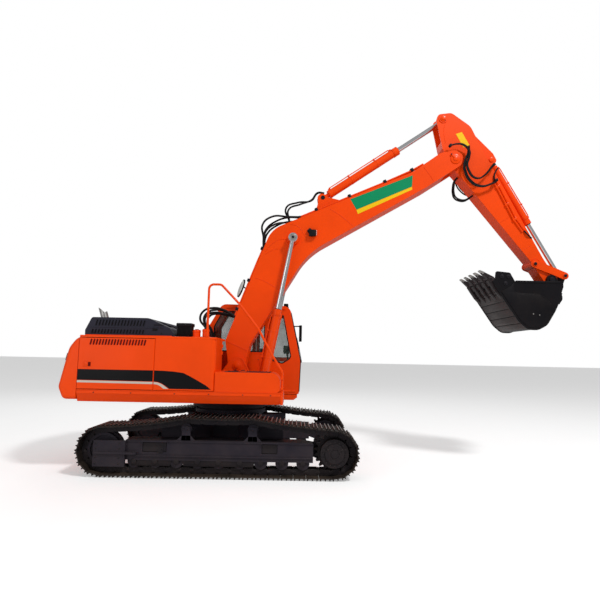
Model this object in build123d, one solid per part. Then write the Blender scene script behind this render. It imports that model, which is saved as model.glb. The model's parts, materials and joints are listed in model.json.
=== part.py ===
from build123d import *
import math
import os

os.makedirs("parts", exist_ok=True)

# A 22 tonne crawler excavator. Millimetres and degrees, +X along the boom, +Y to the machine's left,
# +Z up, origin on the ground at the swing centre.

# crawler
track_gauge = 2390
shoe_width = 600
tumbler_x = 1840           # sprocket ahead, idler behind
tumbler_radius = 400       # over the grouser tips
shoe_count = 49
shoe_gap_share = 0.05      # of the pitch, each side of a shoe
grouser_height = 20
shoe_back = 46             # from the grouser tips to the back of the shoe plates
rail_depth = 140           # from the grouser tips to the rails that the rollers run on
rail_inner = 75            # half the space between the two rails
rail_outer = 125
carrier_x = 530
track_top = 955
track_sags = (18, 12, 34)  # sprocket to roller, roller to roller, roller to idler
roller_count = 9
roller_pitch = 335
roller_radius = 90
carrier_radius = 70
carrier_drop = 5           # room for the kink of the chain over the roller
beam_half_width = 170
beam_front = 1500
beam_rear = -1480
beam_low = 335
beam_high = 560
beam_skirt = 250
motor_radius = 225
run_gap = 0.3              # between round faces that roll or sit on one another

# carbody and swing bearing
carbody_half_length = 560
carbody_half_width = 640
carbody_low = 470
carbody_high = 900
bearing_seat = 965
bearing_radius = 600
bearing_bore = 480
bearing_high = 1100

# upper body
deck_low = 1140
deck_high = 1180
body_side = 1355
sill_inner = 1290
sill_high = 1335
deck_rear = -2325
door_low = 1345
door_high = 2165
roof_low = 2175
roof_high = 2210
panel = 35
seam = 5
middle_seam_x = -1100      # rear side door to tank panel
house_front_x = -110
left_seam_x = -1400
left_front_x = -600
nose_x = 960               # front of the right-hand deck
nose_top = 1650
nose_inner_y = -610
throat_x = 640             # front of the deck between the boom cylinders
counterweight_front = -2334
counterweight_low = 1172
counterweight_high = 2195
tail_radius_low = 2945
tail_radius_high = 2800

notch_x = -430
hood_rear = -2322
hood_front = -845
hood_right = -1180
hood_left = 1090
hood_high = 2515
hood_wall = 25
exhaust_x = -2080
exhaust_y = -900
exhaust_radius = 62
exhaust_lean = 18
lifting_hole_x = -2480
lifting_hole_y = 600
lifting_hole_radius = 18
lifting_boss_radius = 45
lifting_boss_height = 36
tow_bore_radius = 28
tow_bore_x = 630
tow_bore_z = 600
tow_lug_thickness = 50
tow_lug_reach = 130

# cab
cab_right = 455
cab_left = 1375
cab_floor = 1190
cab_wall = 50
cab_front_deck = 1235
cab_front_low = 1075
glass = 8

# boom, arm and bucket pins in the side view
boom_foot = (120, 1740)
boom_tip = (4220, 5800)
bucket_pin = (6010, 3465)
boom_half_width = 235
plate = 14
arm_half_width = 165
side_play = 5
fork_half_width = arm_half_width + side_play
pin_radius = 45
pin_fit = 0.06

# hydraulic cylinders: pin places in the frame of what carries them
boom_cylinder_foot = (573, 1350)
boom_cylinder_y = 370
boom_cylinder_head = (2380, 1016)   # on the boom
head_boss_y = 320
arm_cylinder_foot = (3400, 1245)    # on the boom
arm_cylinder_head = (-800, 350)     # on the arm
bucket_cylinder_foot = (410, 640)   # on the arm
guide_pivot = (2523, -50)           # on the arm
guide_end = (3040, 264)             # on the arm
bucket_link_pin = (3288, -130)      # on the arm, with the bucket curled
eye_half_width = 45
slide_fit = 0.05
neck_length = 62                    # from a barrel's eye to its full width
boom_fork = 5375                    # where the fork for the arm starts, along the boom
link_pin_radius = 35

# bucket, from its pin, with the mouth up
bucket_half_width = 600
bucket_wall = 25
bucket_ear_inner = 175
bucket_ear_outer = 225
tooth_count = 5
tooth_spread = 1040
tooth_width = 90

nodes = {}

axis_maps = {
    "x": (Vector(1, 0, 0), lambda a, b: Vector(0, a, b)),
    "y": (Vector(0, 1, 0), lambda a, b: Vector(a, 0, b)),
    "z": (Vector(0, 0, 1), lambda a, b: Vector(a, b, 0)),
}


def outline(corners, axis="y"):
    # face square to the axis, from (a, b, radius) corners with arcs tangent to the runs beside them
    place = axis_maps[axis][1]
    points = [place(a, b) for a, b, _ in corners]
    count = len(points)
    starts, middles, ends = [], [], []
    for i, (_, _, radius) in enumerate(corners):
        if not radius:
            for places in (starts, middles, ends):
                places.append(points[i])
            continue
        back = (points[i - 1] - points[i]).normalized()
        ahead = (points[(i + 1) % count] - points[i]).normalized()
        half = math.radians(back.get_angle(ahead)) / 2
        reach = radius / math.tan(half)
        centre = points[i] + (back + ahead).normalized() * (radius / math.sin(half))
        starts.append(points[i] + back * reach)
        ends.append(points[i] + ahead * reach)
        middles.append(centre + (points[i] - centre).normalized() * radius)
    edges = []
    for i, (_, _, radius) in enumerate(corners):
        following = starts[(i + 1) % count]
        if radius:
            edges.append(Edge.make_three_point_arc(starts[i], middles[i], ends[i]))
        if (following - ends[i]).length > 0.01:
            edges.append(Edge.make_line(ends[i], following))
    return Face(Wire(edges))


def prism(corners, axis, low, high):
    direction = axis_maps[axis][0]
    face = outline(corners, axis)
    if face.normal_at().dot(direction) < 0:
        face = -face
    solid = Solid.extrude(face, direction * (high - low))
    return Pos(*(direction * low)) * solid


def spread(face, low, high):
    # a face in the XZ plane carried along Y
    return Pos(0, low, 0) * extrude(face, amount=high - low, dir=(0, 1, 0))


def box(x_low, x_high, y_low, y_high, z_low, z_high):
    middle = Pos((x_low + x_high) / 2, (y_low + y_high) / 2, (z_low + z_high) / 2)
    return middle * Box(x_high - x_low, y_high - y_low, z_high - z_low)


def round_y(x, z, radius, y_low, y_high):
    return Pos(x, (y_low + y_high) / 2, z) * Rot(90, 0, 0) * Cylinder(radius, y_high - y_low)


def ring_y(x, z, radius, bore, y_low, y_high):
    return round_y(x, z, radius, y_low, y_high) - round_y(x, z, bore, y_low - 1, y_high + 1)


def round_z(x, y, radius, z_low, z_high):
    return Pos(x, y, (z_low + z_high) / 2) * Cylinder(radius, z_high - z_low)


def pipe(points, bends, radius):
    path = FilletPolyline(*points, radius=bends)
    return sweep(Plane(origin=path @ 0, z_dir=path % 0) * Circle(radius), path=path)


def both_sides(shape):
    return [shape, mirror(shape, about=Plane.XZ)]


def keep(name, *pieces):
    solids = []
    for piece in pieces:
        solids.extend(piece.solids())
    nodes[name] = solids


def side_frame(start, end):
    # placement of a frame whose X runs from start to end in the side view, and its length
    run = math.hypot(end[0] - start[0], end[1] - start[1])
    tilt = math.degrees(math.atan2(end[1] - start[1], end[0] - start[0]))
    return Pos(start[0], 0, start[1]) * Rot(0, -tilt, 0), run, tilt


def placed(start, tilt, point):
    turn = math.radians(tilt)
    x = start[0] + point[0] * math.cos(turn) - point[1] * math.sin(turn)
    z = start[1] + point[0] * math.sin(turn) + point[1] * math.cos(turn)
    return (x, z)


boom_frame, boom_length, boom_tilt = side_frame(boom_foot, boom_tip)
arm_frame, arm_length, arm_tilt = side_frame(boom_tip, bucket_pin)


def on_boom(point):
    return placed(boom_foot, boom_tilt, point)


def on_arm(point):
    return placed(boom_tip, arm_tilt, point)


# ---------------------------------------------------------------- crawler tracks

def track_path():
    # the chain leaves each tumbler along its own sagging run
    run = tumbler_x - carrier_x
    rise = (track_top - 2 * tumbler_radius) / run
    lean, rear_lean = (math.atan(rise - 4 * sag / run) for sag in (track_sags[0], track_sags[2]))
    top_x = tumbler_x + tumbler_radius * math.sin(lean)
    top_z = tumbler_radius * (1 + math.cos(lean))
    rear_x = tumbler_x + tumbler_radius * math.sin(rear_lean)
    rear_z = tumbler_radius * (1 + math.cos(rear_lean))
    tops = [(top_x, top_z), (carrier_x, track_top), (-carrier_x, track_top), (-rear_x, rear_z)]
    edges = [Edge.make_line((-tumbler_x, 0, 0), (tumbler_x, 0, 0))]
    ahead = (tumbler_x + tumbler_radius, 0, tumbler_radius)
    behind = (-tumbler_x - tumbler_radius, 0, tumbler_radius)
    edges.append(Edge.make_three_point_arc((tumbler_x, 0, 0), ahead, (top_x, 0, top_z)))
    for (x1, z1), (x2, z2), sag in zip(tops, tops[1:], track_sags):
        low = ((x1 + x2) / 2, 0, (z1 + z2) / 2 - sag)
        edges.append(Edge.make_three_point_arc((x1, 0, z1), low, (x2, 0, z2)))
    edges.append(Edge.make_three_point_arc((-rear_x, 0, rear_z), behind, (-tumbler_x, 0, 0)))
    return Wire(edges)


def track_loop(path, depth):
    return Face(path.offset_2d(-depth, kind=Kind.INTERSECTION))


def shoe_outline(path):
    # one raised block for each shoe, standing on the loop at grouser depth
    pitch = path.length / shoe_count
    corners = []
    for i in range(shoe_count):
        for share, depth in ((shoe_gap_share, grouser_height), (shoe_gap_share, 0),
                             (1 - shoe_gap_share, 0), (1 - shoe_gap_share, grouser_height)):
            along = (i + share) * pitch
            here = path.position_at(along, position_mode=PositionMode.LENGTH)
            heading = path.tangent_at(along, position_mode=PositionMode.LENGTH)
            corners.append(here + Vector(-heading.Z, 0, heading.X) * depth)
    return Face(Wire.make_polygon(corners, close=True))


def make_track(centre):
    path = track_path()
    half = shoe_width / 2
    belt = spread(shoe_outline(path) - track_loop(path, shoe_back), centre - half, centre + half)
    rail = track_loop(path, shoe_back - 1) - track_loop(path, rail_depth)
    for low, high in ((-rail_outer, -rail_inner), (rail_inner, rail_outer)):
        belt += spread(rail, centre + low, centre + high)
    return belt


def roller_places():
    first = -roller_pitch * (roller_count - 1) / 2
    return [first + i * roller_pitch for i in range(roller_count)]


roller_z = rail_depth + roller_radius + run_gap
carrier_z = track_top - rail_depth - carrier_radius - carrier_drop
tumbler_z = tumbler_radius
idler_tread = tumbler_radius - rail_depth - run_gap


def make_roller(x, z, radius, centre):
    half = rail_outer + 5
    roller = round_y(x, z, radius, centre - half, centre + half)
    for side in (-1, 1):
        flange = sorted((centre + side * half, centre + side * (half + 14)))
        roller += round_y(x, z, radius + 14, *flange)
    return roller


def make_idler(centre):
    idler = round_y(-tumbler_x, tumbler_z, idler_tread, centre - rail_outer, centre + rail_outer)
    idler += round_y(-tumbler_x, tumbler_z, idler_tread + 25, centre - 60, centre + 60)
    idler += round_y(-tumbler_x, tumbler_z, 70, centre - 148, centre + 148)
    for side in (-1, 1):
        dish = sorted((centre + side * 95, centre + side * (rail_outer + 1)))
        idler -= ring_y(-tumbler_x, tumbler_z, idler_tread - 45, 90, *dish)
    return idler


def make_sprocket(centre):
    # toothed rim bolted round the travel motor
    teeth = 21
    root = 268
    wheel = round_y(tumbler_x, tumbler_z, root, centre - 33, centre + 33)
    for i in range(teeth):
        turn = Pos(tumbler_x, centre, tumbler_z) * Rot(0, 360 * i / teeth, 0)
        tooth = prism([(root - 12, -34, 0), (318, -12, 0), (318, 12, 0), (root - 12, 34, 0)], "y", -30, 30)
        wheel += turn * tooth
    return wheel - round_y(tumbler_x, tumbler_z, motor_radius + run_gap, centre - 40, centre + 40)


def make_motor(centre):
    side = math.copysign(1, centre)
    outer = centre + side * 205
    inner = centre - side * 100
    motor = round_y(tumbler_x, tumbler_z, motor_radius, *sorted((inner, outer)))
    motor += round_y(tumbler_x, tumbler_z, 150, *sorted((outer, outer + side * 25)))
    tail = round_y(tumbler_x, tumbler_z, 140, *sorted((inner, inner - side * 180)))
    return motor + tail


def make_track_frame(centre):
    side = math.copysign(1, centre)
    half = beam_half_width
    beam = prism([(beam_rear, beam_low, 0), (beam_front, beam_low, 0), (beam_front, beam_high - 30, 0),
                  (beam_front - 180, beam_high, 0), (beam_rear, beam_high, 0)], "y", centre - half, centre + half)
    for face in (-1, 1):
        skirt = sorted((centre + face * half, centre + face * (half - 18)))
        beam += box(beam_rear, beam_front, *skirt, beam_skirt, beam_low)
    # recesses in the outer face
    for low, high in ((-1210, -830), (680, 930)):
        pocket = sorted((centre + side * (half - 30), centre + side * (half + 1)))
        beam -= box(low, high, *pocket, beam_low + 40, beam_high - 20)
    # yoke arms that hold the idler's axle
    for face in (-1, 1):
        arm_y = sorted((centre + face * 150, centre + face * half))
        beam += box(-tumbler_x - 130, beam_rear, *arm_y, 330, 470)
    # outer guard over the yoke, with its rib
    guard_y = sorted((centre + side * half, centre + side * (half + 55)))
    beam += box(-tumbler_x - 130, beam_rear + 10, *guard_y, 150, 550)
    rib_y = sorted((centre + side * (half + 55), centre + side * (half + 80)))
    beam += box(-tumbler_x - 100, -1290, *rib_y, 345, 375)
    beam += box(beam_rear + 10, -1290, *sorted((centre + side * half, centre + side * (half + 80))), 345, 375)
    # ring plate inside the sprocket that carries the travel motor
    plate_y = sorted((centre - side * 110, centre - side * 150))
    mount = prism([(beam_front - 10, 300, 0), (tumbler_x, 170, 0), (tumbler_x + 235, 300, 60),
                   (tumbler_x + 235, 500, 60), (tumbler_x, 640, 0), (beam_front - 10, beam_high - 30, 0)],
                  "y", *plate_y)
    beam += mount - round_y(tumbler_x, tumbler_z, 140 + run_gap, -1400, 1400)
    # posts and axles of the carrier rollers
    for x in (-carrier_x, carrier_x):
        post_y = sorted((centre + side * 152, centre + side * half))
        beam += prism([(x - 75, beam_high - 1, 0), (x + 75, beam_high - 1, 0), (x + 62, carrier_z + 45, 20),
                       (x - 62, carrier_z + 45, 20)], "y", *post_y)
        beam += round_y(x, carrier_z, 25 - run_gap, *sorted((centre + side * 160, centre - side * 80)))
    # axles of the bottom rollers
    for x in roller_places():
        beam += round_y(x, roller_z, 25 - run_gap, centre - half + 5, centre + half - 5)
    return beam


def bored(roller, x, z):
    return roller - round_y(x, z, 25, -1600, 1600)


for name, centre in (("right", -track_gauge / 2), ("left", track_gauge / 2)):
    keep("track_" + name, make_track(centre))
    keep("track_frame_" + name, make_track_frame(centre))

centres = (-track_gauge / 2, track_gauge / 2)
keep("sprockets", *[make_sprocket(c) for c in centres])
keep("travel_motors", *[make_motor(c) for c in centres])
keep("idlers", *[make_idler(c) for c in centres])
keep("bottom_rollers", *[bored(make_roller(x, roller_z, roller_radius, c), x, roller_z)
                         for c in centres for x in roller_places()])
keep("carrier_rollers", *[bored(make_roller(x, carrier_z, carrier_radius, c), x, carrier_z)
                          for c in centres for x in (-carrier_x, carrier_x)])


# ---------------------------------------------------------------- carbody and bearing

def make_carbody():
    length = carbody_half_length
    width = carbody_half_width
    body = prism([(-length, -width, 150), (length, -width, 150), (length, width, 150), (-length, width, 150)],
                 "z", carbody_low, carbody_high)
    body += round_z(0, 0, carbody_half_width, carbody_high - 1, bearing_seat)
    reach = track_gauge / 2 - beam_half_width
    leg = prism([(180, width - 40, 0), (length - 20, 260, 0), (1010, reach, 0), (560, reach, 0)],
                "z", carbody_low, carbody_high - 130)
    for turn in ((1, 1), (1, -1), (-1, 1), (-1, -1)):
        piece = leg
        if turn[0] < 0:
            piece = mirror(piece, about=Plane.YZ)
        if turn[1] < 0:
            piece = mirror(piece, about=Plane.XZ)
        body += piece
    return body


def make_tow_lugs():
    # one welded to each end of the carbody
    length = carbody_half_length
    lugs = []
    for end in (-1, 1):
        lug_x = sorted((end * length, end * (length + tow_lug_reach)))
        lug = box(*lug_x, -tow_lug_thickness / 2, tow_lug_thickness / 2, tow_bore_z - 70, tow_bore_z + 70)
        lugs.append(lug - round_y(end * tow_bore_x, tow_bore_z, tow_bore_radius, -60, 60))
    return lugs


keep("carbody", make_carbody())
keep("tow_lugs", *make_tow_lugs())
keep("swing_bearing", round_z(0, 0, bearing_radius, bearing_seat, bearing_high)
     - round_z(0, 0, bearing_bore, bearing_seat - 1, bearing_high + 1))
keep("swing_ring", round_z(0, 0, bearing_radius + 90, bearing_seat + 45, deck_low)
     - round_z(0, 0, bearing_radius + side_play, bearing_seat, deck_low + 1))


# ---------------------------------------------------------------- swing frame

ear_inner = boom_half_width + side_play + 5
ear_outer = ear_inner + 50
clevis_y = (boom_cylinder_y - eye_half_width - side_play, boom_cylinder_y + eye_half_width + side_play)


def make_swing_frame():
    half = sill_inner
    frame = prism([(deck_rear, -half, 0), (nose_x, -half, 0), (nose_x, -480, 0), (throat_x, -480, 0),
                   (throat_x, 460, 0), (cab_front_deck, 460, 0), (cab_front_deck, half, 0),
                   (deck_rear, half, 0)], "z", deck_low, deck_high)
    # cab platform, lower than the deck
    frame += prism([(throat_x, cab_front_low, 0), (cab_front_deck - 70, cab_front_low, 0),
                    (cab_front_deck, cab_front_low + 50, 0), (cab_front_deck, deck_low + 1, 0),
                    (throat_x, deck_low + 1, 0)], "y", 460, half)
    # side sills with a turned-under lower half
    sill = [(-half + 1, deck_low, 0), (-body_side + 8, 1262, 0), (-body_side, 1275, 0),
            (-body_side, sill_high, 0), (-half + 1, sill_high, 0)]
    right = prism(sill, "x", deck_rear, nose_x)
    left = mirror(prism(sill, "x", deck_rear, left_front_x), about=Plane.XZ)
    frame += right
    frame += left
    # floor of the right-hand nose
    frame += box(nose_x, nose_x + 40, -body_side + 20, nose_inner_y - 40, deck_low, sill_high - 5)
    # boom foot plates, carrying the boom and the inner ends of the lift cylinder pins
    foot = [(-520, deck_high - 1, 0), (-200, 1560, 160), (40, 1900, 130), (230, 1880, 130), (420, 1480, 100),
            (640, 1440, 90), (660, 1260, 60), (throat_x, deck_high - 1, 0)]
    clevis = [(430, deck_high - 1, 0), (480, 1440, 90), (650, 1440, 90), (660, 1260, 60), (throat_x, deck_high - 1, 0)]
    for side in (-1, 1):
        frame += prism(foot, "y", *sorted((side * ear_inner, side * ear_outer)))
        frame += round_y(*boom_cylinder_foot, 85, *sorted((side * (ear_outer - 1), side * clevis_y[0])))
        frame += prism(clevis, "y", *sorted((side * clevis_y[1], side * (clevis_y[1] + 28))))
    # cross tube between the plates and the step behind the boom
    frame += box(-480, -440, -ear_inner - 1, ear_inner + 1, deck_high - 1, 1500)
    # blocks that the counterweight is drawn up to
    for side in (-1, 1):
        frame += box(counterweight_front, deck_rear + 40, *sorted((side * 300, side * 500)), deck_high - 1, 1320)
    # pads under the cab
    for x in (-400, 1050):
        for y in (560, 1200):
            frame += round_z(x, y, 70, deck_high - 1, cab_floor)
    frame -= round_y(*boom_foot, pin_radius + pin_fit, -700, 700)
    frame -= round_y(*boom_cylinder_foot, pin_radius + pin_fit, -700, 700)
    return frame


keep("swing_frame", make_swing_frame())
keep("frame_pins", round_y(*boom_foot, pin_radius, -ear_outer - 12, ear_outer + 12),
     *both_sides(round_y(*boom_cylinder_foot, pin_radius, ear_outer + 2, clevis_y[1] + 34)))


# ---------------------------------------------------------------- engine house

def make_counterweight():
    low, high = counterweight_low, counterweight_high
    profile = outline([(1500, low, 0), (tail_radius_low - 75, low, 90), (tail_radius_low, low + 190, 130),
                       (tail_radius_high + 20, high - 190, 300), (tail_radius_high - 110, high, 190), (1500, high, 0)])
    tail = Solid.revolve(profile, 360, Axis.Z)
    width = body_side - 3
    keep_in = prism([(counterweight_front, -width, 0), (counterweight_front, width, 0),
                     (-3200, width, 0), (-3200, -width, 0)], "z", low - 10, high + 10)
    weight = tail & keep_in
    corners = [e for e in weight.edges() if abs(abs(e.center().Y) - width) < 1 and e.center().X < -2450
               and e.bounding_box().size.Z > 250]
    return fillet(corners, 60)


def make_lifting_bosses():
    # threaded for lifting eyes
    top = counterweight_high + lifting_boss_height
    bosses = []
    for y in (-lifting_hole_y, lifting_hole_y):
        boss = round_z(lifting_hole_x, y, lifting_boss_radius, counterweight_high, top)
        bosses.append(boss - round_z(lifting_hole_x, y, lifting_hole_radius, counterweight_high - 1, top + 1))
    return bosses


def make_house_frame():
    # roof deck with the hood's opening, and the posts that carry it and the doors
    roof = box(deck_rear, house_front_x, -body_side, body_side, roof_low, roof_high)
    upper = [e for e in roof.edges().filter_by(Axis.X) if e.center().Z > roof_high - 1]
    roof = fillet(upper, 25)
    roof -= box(hood_rear + 25, hood_front - 25, hood_right + 25, hood_left - 25, roof_low - 1, roof_high + 1)
    roof -= box(left_front_x, 0, cab_right - 20, body_side + 1, roof_low - 1, roof_high + 1)
    # notch that the boom's foot turns in
    roof -= box(notch_x, 0, -ear_outer - 15, cab_right, roof_low - 1, roof_high + 1)
    post_face = body_side - panel - seam
    posts = [(deck_rear, -1), (middle_seam_x - 30, -1), (deck_rear, 1), (left_seam_x - 30, 1), (left_front_x - 60, 1)]
    for x, side in posts:
        roof += box(x, x + 60, *sorted((side * post_face, side * (post_face - 50))), sill_high, roof_low + 1)
    # bulkhead behind the cab and boom
    roof += box(left_front_x - 60, left_front_x - 40, cab_right - 100, sill_inner - 1, deck_high, roof_low + 1)
    return roof


def make_hood():
    # raised engine cover, open below, its rear foot rounded about the hinge in it
    high = hood_high
    side = [(hood_rear, roof_high + seam, hood_wall / 2), (hood_front, roof_high + seam, 0), (hood_front - 15, 2270, 20),
            (hood_front - 70, 2352, 60), (hood_front - 430, high, 140), (hood_rear + 100, high, 50),
            (hood_rear, 2300, 30)]
    cover = prism(side, "y", hood_right, hood_left)
    inner = [(hood_rear + hood_wall, roof_high - 20, 0), (hood_front - hood_wall, roof_high - 20, 0),
             (hood_front - 40, 2260, 10), (hood_front - 92, 2334, 40), (hood_front - 440, high - hood_wall, 120),
             (hood_rear + 112, high - hood_wall, 40), (hood_rear + hood_wall, 2292, 20)]
    return cover - prism(inner, "y", hood_right + hood_wall, hood_left - hood_wall)


exhaust_line = Pos(exhaust_x, exhaust_y, hood_high - hood_wall - 60) * Rot(0, -exhaust_lean, 0)


def make_exhaust():
    # tail pipe through the hood, leaning back and cut on the slant, with a collar on the hood
    low = (Align.CENTER, Align.CENTER, Align.MIN)
    drift = math.tan(math.radians(exhaust_lean)) * (hood_wall + 66)
    pipe_body = exhaust_line * Cylinder(exhaust_radius, 330, align=low)
    pipe_body += round_z(exhaust_x - drift, exhaust_y, exhaust_radius + 26, hood_high, hood_high + 12)
    pipe_body -= exhaust_line * Pos(0, 0, -1) * Cylinder(exhaust_radius - 5, 400, align=low)
    cut = Pos(exhaust_x - 120, exhaust_y, hood_high + 290) * Rot(0, 42, 0) * Box(400, 200, 200)
    return pipe_body - cut


keep("counterweight", make_counterweight())
keep("lifting_bosses", *make_lifting_bosses())
keep("house_frame", make_house_frame())
keep("engine_hood", make_hood() - exhaust_line * Cylinder(exhaust_radius + 0.3, 500))
keep("exhaust_pipe", make_exhaust())
keep("air_precleaner", prism([(-830, roof_high, 0), (-560, roof_high, 0), (-560, 2448, 30), (-830, 2448, 30)],
                             "y", -1120, -880))


def make_engine():
    # one plain mass on four mounts
    block = box(-2050, -1000, -420, 420, 1270, 1950)
    for x in (-1900, -1150):
        for y in (-320, 320):
            block += round_z(x, y, 60, deck_high, 1271)
    return block


keep("engine_block", make_engine())


def make_tank_panel():
    # outer skin of the hydraulic tank bay, turned round its front corner
    outer = body_side
    inner = outer - panel
    low, high = door_low, door_high + 5
    side = prism([(middle_seam_x + seam, -inner, 0), (middle_seam_x + seam, -outer, 0), (house_front_x, -outer, 60),
                  (house_front_x, nose_inner_y - 40, 0), (house_front_x - panel, nose_inner_y - 40, 0),
                  (house_front_x - panel, -inner, 0)], "z", low, high + 5)
    return side


keep("tank_panel", make_tank_panel())
keep("hydraulic_tank", box(middle_seam_x + 60, house_front_x - panel - run_gap, -body_side + panel + run_gap,
                           nose_inner_y - 60, sill_high, roof_low))
keep("filler_caps", *[round_z(x, -1150, radius, roof_high, top) for x, radius, top in
                      ((-470, 62, 2335), (-320, 55, 2350))])
keep("fuel_tank", prism([(house_front_x + run_gap, sill_high, 0), (nose_x - 15, sill_high, 60), (nose_x - 15, nose_top, 150),
                         (house_front_x + run_gap, nose_top, 0)], "y", -body_side + 2, nose_inner_y))


def make_side_door(x_low, x_high, side):
    # the front edge is a full round about the hinge pin inside it
    round_edge = panel / 2
    door = box(x_low, x_high - round_edge, *sorted((side * (body_side - panel), side * body_side)), door_low, door_high)
    return door + round_z(x_high - round_edge, side * (body_side - round_edge), round_edge, door_low, door_high)


keep("right_rear_door", make_side_door(deck_rear, middle_seam_x, -1))
keep("left_rear_door", make_side_door(deck_rear, left_seam_x, 1))
keep("left_front_door", make_side_door(left_seam_x + seam, left_front_x, 1))


# ---------------------------------------------------------------- cab

cab_side = [(-545, cab_floor, 40), (1268, cab_floor, 30), (1292, 1850, 900), (1058, 2928, 170), (-300, 2945, 150),
            (-562, 2480, 220)]
cab_inside = [(-495, cab_floor + cab_wall, 30), (1218, cab_floor + cab_wall, 20), (1240, 1850, 850),
              (1018, 2880, 130), (-268, 2895, 110), (-512, 2474, 190)]
door_side = [(335, 1245, 30), (1150, 1245, 60), (1176, 1850, 600), (975, 2825, 110), (335, 2830, 60)]
door_room = [(330, 1240, 30), (1155, 1240, 60), (1181, 1850, 600), (979, 2830, 110), (330, 2835, 60)]
door_pane = [(400, 1900, 60), (1105, 1900, 60), (942, 2765, 80), (400, 2765, 60)]
door_low_pane = [(400, 1360, 60), (1085, 1360, 60), (1105, 1820, 60), (400, 1820, 60)]
front_pane = [(700, 1850, 40), (930, 1790, 60), (1100, 1900, 80), (925, 2760, 80), (700, 2790, 60)]
rear_pane = [(-440, 2010, 60), (560, 2010, 60), (560, 2790, 60), (-280, 2800, 120), (-440, 2500, 100)]
windshield = (520, 1310, 1850, 2800)      # y and z of the upper front glass
toe_window = (520, 1310, 1330, 1790)
back_window = (540, 1290, 2010, 2420)


def inner_wall(y):
    # wall band of one side, seen from outside to inside
    side = 1 if y > (cab_right + cab_left) / 2 else -1
    return sorted((y + side * 20, y - side * (cab_wall + 20)))


def front_cutter(window):
    y_low, y_high, z_low, z_high = window
    return box(850, 1400, y_low, y_high, z_low, z_high)


def back_cutter(window):
    y_low, y_high, z_low, z_high = window
    return box(-700, -350, y_low, y_high, z_low, z_high)


def make_cab():
    shell = prism(cab_side, "y", cab_right, cab_left)
    shell -= prism(cab_inside, "y", cab_right + cab_wall, cab_left - cab_wall)
    for pane in (front_pane, rear_pane):
        shell -= prism(pane, "y", *inner_wall(cab_right))
    shell -= prism(rear_pane[:1] + [(260, 2010, 60), (260, 2790, 60)] + rear_pane[3:], "y", *inner_wall(cab_left))
    shell -= prism(door_room, "y", *inner_wall(cab_left))
    for window in (windshield, toe_window):
        shell -= front_cutter(window)
    shell -= back_cutter(back_window)
    for z in hinge_heights:
        shell += hinge_half(hinge_x - 60, hinge_x, z - hinge_height - 0.5)
    return shell


def make_cab_glass():
    # each pane sits in the middle of its wall
    middle = (cab_wall - glass) / 2
    panes = []
    right = (cab_right + middle, cab_right + middle + glass)
    left = (cab_left - middle - glass, cab_left - middle)
    panes.append(prism(front_pane, "y", *right))
    panes.append(prism(rear_pane, "y", *right))
    panes.append(prism(rear_pane[:1] + [(260, 2010, 60), (260, 2790, 60)] + rear_pane[3:], "y", *left))
    skin = prism(shrunk(middle), "y", cab_right, cab_left)
    skin -= prism(shrunk(middle + glass), "y", cab_right - 1, cab_left + 1)
    for window in (windshield, toe_window):
        panes.append(skin & front_cutter(window))
    panes.append(skin & back_cutter(back_window))
    return panes


def shrunk(depth):
    # side outline drawn in by a depth, between the outer and inner skins
    share = depth / cab_wall
    return [(ax + (bx - ax) * share, az + (bz - az) * share, ar + (br - ar) * share)
            for (ax, az, ar), (bx, bz, br) in zip(cab_side, cab_inside)]


door_thick = 38
hinge_x = 330
hinge_y = cab_left + 14
hinge_radius = 12
hinge_height = 80
hinge_heights = (1480, 2480)


def hinge_half(x_low, x_high, z):
    # strap on the cab's outer face and its knuckle
    strap = box(x_low, x_high, cab_left, cab_left + 6, z, z + hinge_height)
    return strap + round_z(hinge_x, hinge_y, hinge_radius, z, z + hinge_height)


def make_cab_door():
    door = prism(door_side, "y", cab_left - door_thick, cab_left)
    door -= prism(door_pane, "y", 1200, 1500)
    door -= prism(door_low_pane, "y", 1200, 1500)
    for z in hinge_heights:
        door += hinge_half(hinge_x + 4, hinge_x + 60, z)
    return door


keep("cab_shell", make_cab())
keep("cab_glass", *make_cab_glass())
keep("cab_door", make_cab_door())
keep("cab_door_glass", *[prism(pane, "y", cab_left - 24, cab_left - 24 + glass) for pane in (door_pane, door_low_pane)])


# ---------------------------------------------------------------- inside the cab and beside it

seat_y = (cab_right + cab_left) / 2


def make_seat():
    # pedestal, pan and back shell
    floor = cab_floor + cab_wall
    seat = box(20, 330, seat_y - 150, seat_y + 150, floor, 1600)
    seat += box(-100, 420, seat_y - 235, seat_y + 235, 1599, 1640)
    back = [(-110, 1610, 0), (-60, 1610, 0), (-150, 2330, 20), (-200, 2330, 20)]
    seat += box(-190, -165, seat_y - 60, seat_y + 60, 2329, 2480)
    return seat + prism(back, "y", seat_y - 215, seat_y + 215)


def make_cushions():
    bottom = fillet(box(-55, 440, seat_y - 240, seat_y + 240, 1640, 1750).edges(), 35)
    back = [(-77.7, 1756, 30), (30, 1756, 40), (-35, 2330, 50), (-149.5, 2330, 20)]
    head = [(-164.5, 2345, 20), (-75, 2345, 40), (-88, 2530, 40), (-164.5, 2530, 20)]
    head_rest = prism(head, "y", seat_y - 130, seat_y + 130)
    return bottom, prism(back, "y", seat_y - 220, seat_y + 220), head_rest


def make_consoles():
    floor = cab_floor + cab_wall
    pieces = []
    for side in (-1, 1):
        arm_y = sorted((seat_y + side * 260, seat_y + side * 390))
        console = prism([(-120, floor, 0), (260, floor, 0), (300, 1700, 60), (560, 1790, 20), (560, 1850, 20),
                         (-120, 1850, 60)], "y", *arm_y)
        console += round_z(500, seat_y + side * 325, 14, 1840, 1960)
        console += round_z(500, seat_y + side * 325, 26, 1955, 2060)
        pieces.append(console)
        pedal = prism([(700, floor, 0), (800, floor, 0), (860, 1370, 10), (840, 1380, 10)], "y",
                      *sorted((seat_y + side * 30, seat_y + side * 130)))
        pieces.append(pedal)
    return pieces


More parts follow.
